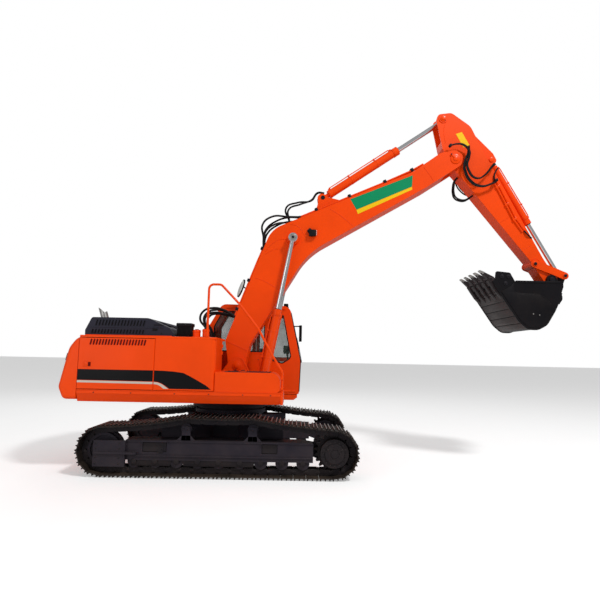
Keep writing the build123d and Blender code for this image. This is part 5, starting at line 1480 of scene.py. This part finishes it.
def makeTeethTrim():
    # adapters straddling the lip, tooth pins and the teeth's worn points
    adapters, pins, points = (bmesh.new() for _ in range(3))
    pitch, half = bucket["spread"] / (bucket["teeth"] - 1), bucket["toothWidth"] / 2
    nose = rounded([(-1.345, -0.02, 0.01), (-1.22, -0.05, 0.02), (-1.1, -0.215, 0.02), (-1.02, -0.36, 0.02),
                    (-1.075, -0.43, 0.02), (-1.2, -0.302, 0.02), (-1.34, -0.085, 0.02)], 3)
    tip = rounded([(-1.5, 0.086, 0.004), (-1.482, 0.097, 0.006), (-1.4, 0.06, 0.0), (-1.43, 0.02, 0.0)], 2)
    for index in range(bucket["teeth"]):
        y = -bucket["spread"] / 2 + index * pitch
        addProfile(adapters, nose, y - half - 0.014, y + half + 0.014, 0.006, bucketSpace)
        addDrum(pins, (-1.29, y, -0.062), (0, 1, 0), 0.016, bucket["toothWidth"] + 0.04, 14, 0.003, place=bucketSpace)
        addProfile(points, tip, y - half - 0.003, y + half + 0.003, 0.004, bucketSpace)
    # plates that guard the lip between the teeth
    lip = bucketSpace @ Matrix.Translation((-1.262, 0, -0.112)) @ Matrix.Rotation(math.radians(57), 4, "Y")
    for index in range(bucket["teeth"] - 1):
        y = -bucket["spread"] / 2 + (index + 0.5) * pitch
        addBox(adapters, (-0.05, y - 0.055, -0.032), (0.06, y + 0.055, 0.026), 0.008, place=lip)
    makePiece("toothAdapters", adapters, "bucket", "tooth_steel")
    makePiece("toothPins", pins, "bucket", "dark_steel")
    makePiece("toothPoints", points, "bucket", "tooth_steel", "polished")


def makeLinkTrim():
    steel, paint = bmesh.new(), bmesh.new()
    for side in sides:
        for x, z, radius in ((2.523, -0.05, 0.05), (3.04, 0.264, 0.046)):
            y = side * 0.22
            addDrum(steel, (x, y + side * 0.007, z), (0, 1, 0), 0.03, 0.012, 20, 0.003, place=armSpace)
            addBolt(steel, (x, y + side * 0.012, z), (0, side, 0), 0.016, armSpace)
            addDrum(paint, (x, side * 0.209, z), (0, 1, 0), radius, 0.008, 28, 0.003, place=armSpace)
    makePiece("linkBolts", steel, "guide_links", "dark_steel")
    makePiece("linkBosses", paint, "guide_links", "orange_paint")


makeShellSkin()
makeBucketSides()
makeTeethTrim()
makeLinkTrim()
print("bucket done")

# ---- camera, lights and floor; viewing place in metres, angles in degrees
viewpoint = {"place": (1.185, -9.516, 1.912), "pitch": 6.559, "roll": 1.121, "yaw": 0.41, "lens": 29.916,
             "sensor": 36.0, "reach": 200.0}


def makeCamera():
    pitch, yaw, roll = (math.radians(viewpoint[key]) for key in ("pitch", "yaw", "roll"))
    ahead = Vector((math.sin(yaw) * math.cos(pitch), math.cos(yaw) * math.cos(pitch), math.sin(pitch)))
    right = Vector((math.cos(yaw), -math.sin(yaw), 0.0))
    up = right.cross(ahead)
    across = right * math.cos(roll) + up * math.sin(roll)
    above = up * math.cos(roll) - right * math.sin(roll)
    turn = Matrix((across, above, -ahead)).transposed()
    data = bpy.data.cameras.new("camera")
    data.lens = viewpoint["lens"]
    data.sensor_width = viewpoint["sensor"]
    data.clip_end = viewpoint["reach"]
    camera = bpy.data.objects.new("camera", data)
    camera.matrix_world = Matrix.Translation(viewpoint["place"]) @ turn.to_4x4()
    bpy.context.collection.objects.link(camera)
    scene.camera = camera


makeCamera()

white = (1.0, 1.0, 1.0, 1.0)
# each lamp's place, watts and size
lighting = {"lamps": {"key": ((11.0, -12.0, 19.0), 2750.0, 3.0), "fill": ((-9.0, -13.0, 5.0), 330.0, 8.0),
                      "rim": ((-4.0, 12.0, 12.0), 300.0, 8.0)},
            "aim": (1.5, 0.0, 2.0), "world": 0.36, "backdrop": 1.0}


def makeLights():
    for name, (spot, watts, size) in lighting["lamps"].items():
        data = bpy.data.lights.new(name, "AREA")
        data.energy = watts
        data.size = size
        lamp = bpy.data.objects.new(name, data)
        lamp.location = spot
        lamp.rotation_euler = (Vector(lighting["aim"]) - lamp.location).to_track_quat("-Z", "Y").to_euler()
        bpy.context.collection.objects.link(lamp)
    world = bpy.data.worlds.new("studio")
    world.use_nodes = True
    tree = world.node_tree
    plain = tree.nodes["Background"]
    plain.inputs[0].default_value = white
    plain.inputs[1].default_value = lighting["world"]
    # the backdrop itself reads white, brighter than the light it gives
    pale = addNode(tree, "ShaderNodeBackground", {"Color": white, "Strength": lighting["backdrop"]})
    seen = addNode(tree, "ShaderNodeLightPath").outputs["Is Camera Ray"]
    blend = addNode(tree, "ShaderNodeMixShader", {0: seen, 1: plain.outputs[0], 2: pale.outputs[0]})
    tree.links.new(blend.outputs[0], tree.nodes["World Output"].inputs[0])
    scene.world = world
    scene.view_settings.view_transform = "Standard"


ground = {"size": 250.0, "depth": 0.001, "glow": 0.3}


def makeFloor():
    bm = bmesh.new()
    bmesh.ops.create_grid(bm, x_segments=1, y_segments=1, size=ground["size"])
    mesh = bpy.data.meshes.new("floor")
    bm.to_mesh(mesh)
    bm.free()
    floor = bpy.data.objects.new("floor", mesh)
    floor.location = (0.0, 0.0, -ground["depth"])
    bpy.context.collection.objects.link(floor)
    mesh.materials.append(paintMaterial("floorPaint", (0.93, 0.93, 0.93, 1.0), rough=0.8, wear=0.0, dust=0.0,
                                        patch=0.01, bump=0.0))
    # paler to the eye than the light it throws back
    tree = mesh.materials[0].node_tree
    out = next(node for node in tree.nodes if node.type == "OUTPUT_MATERIAL")
    paint = out.inputs[0].links[0].from_socket
    glow = addNode(tree, "ShaderNodeEmission", {"Color": white, "Strength": ground["glow"]})
    both = addNode(tree, "ShaderNodeAddShader", {0: paint, 1: glow.outputs[0]})
    seen = addNode(tree, "ShaderNodeLightPath").outputs["Is Camera Ray"]
    pick = addNode(tree, "ShaderNodeMixShader", {0: seen, 1: paint, 2: both.outputs[0]})
    tree.links.new(pick.outputs[0], out.inputs[0])


makeLights()
makeFloor()
print("camera, lights and floor done")
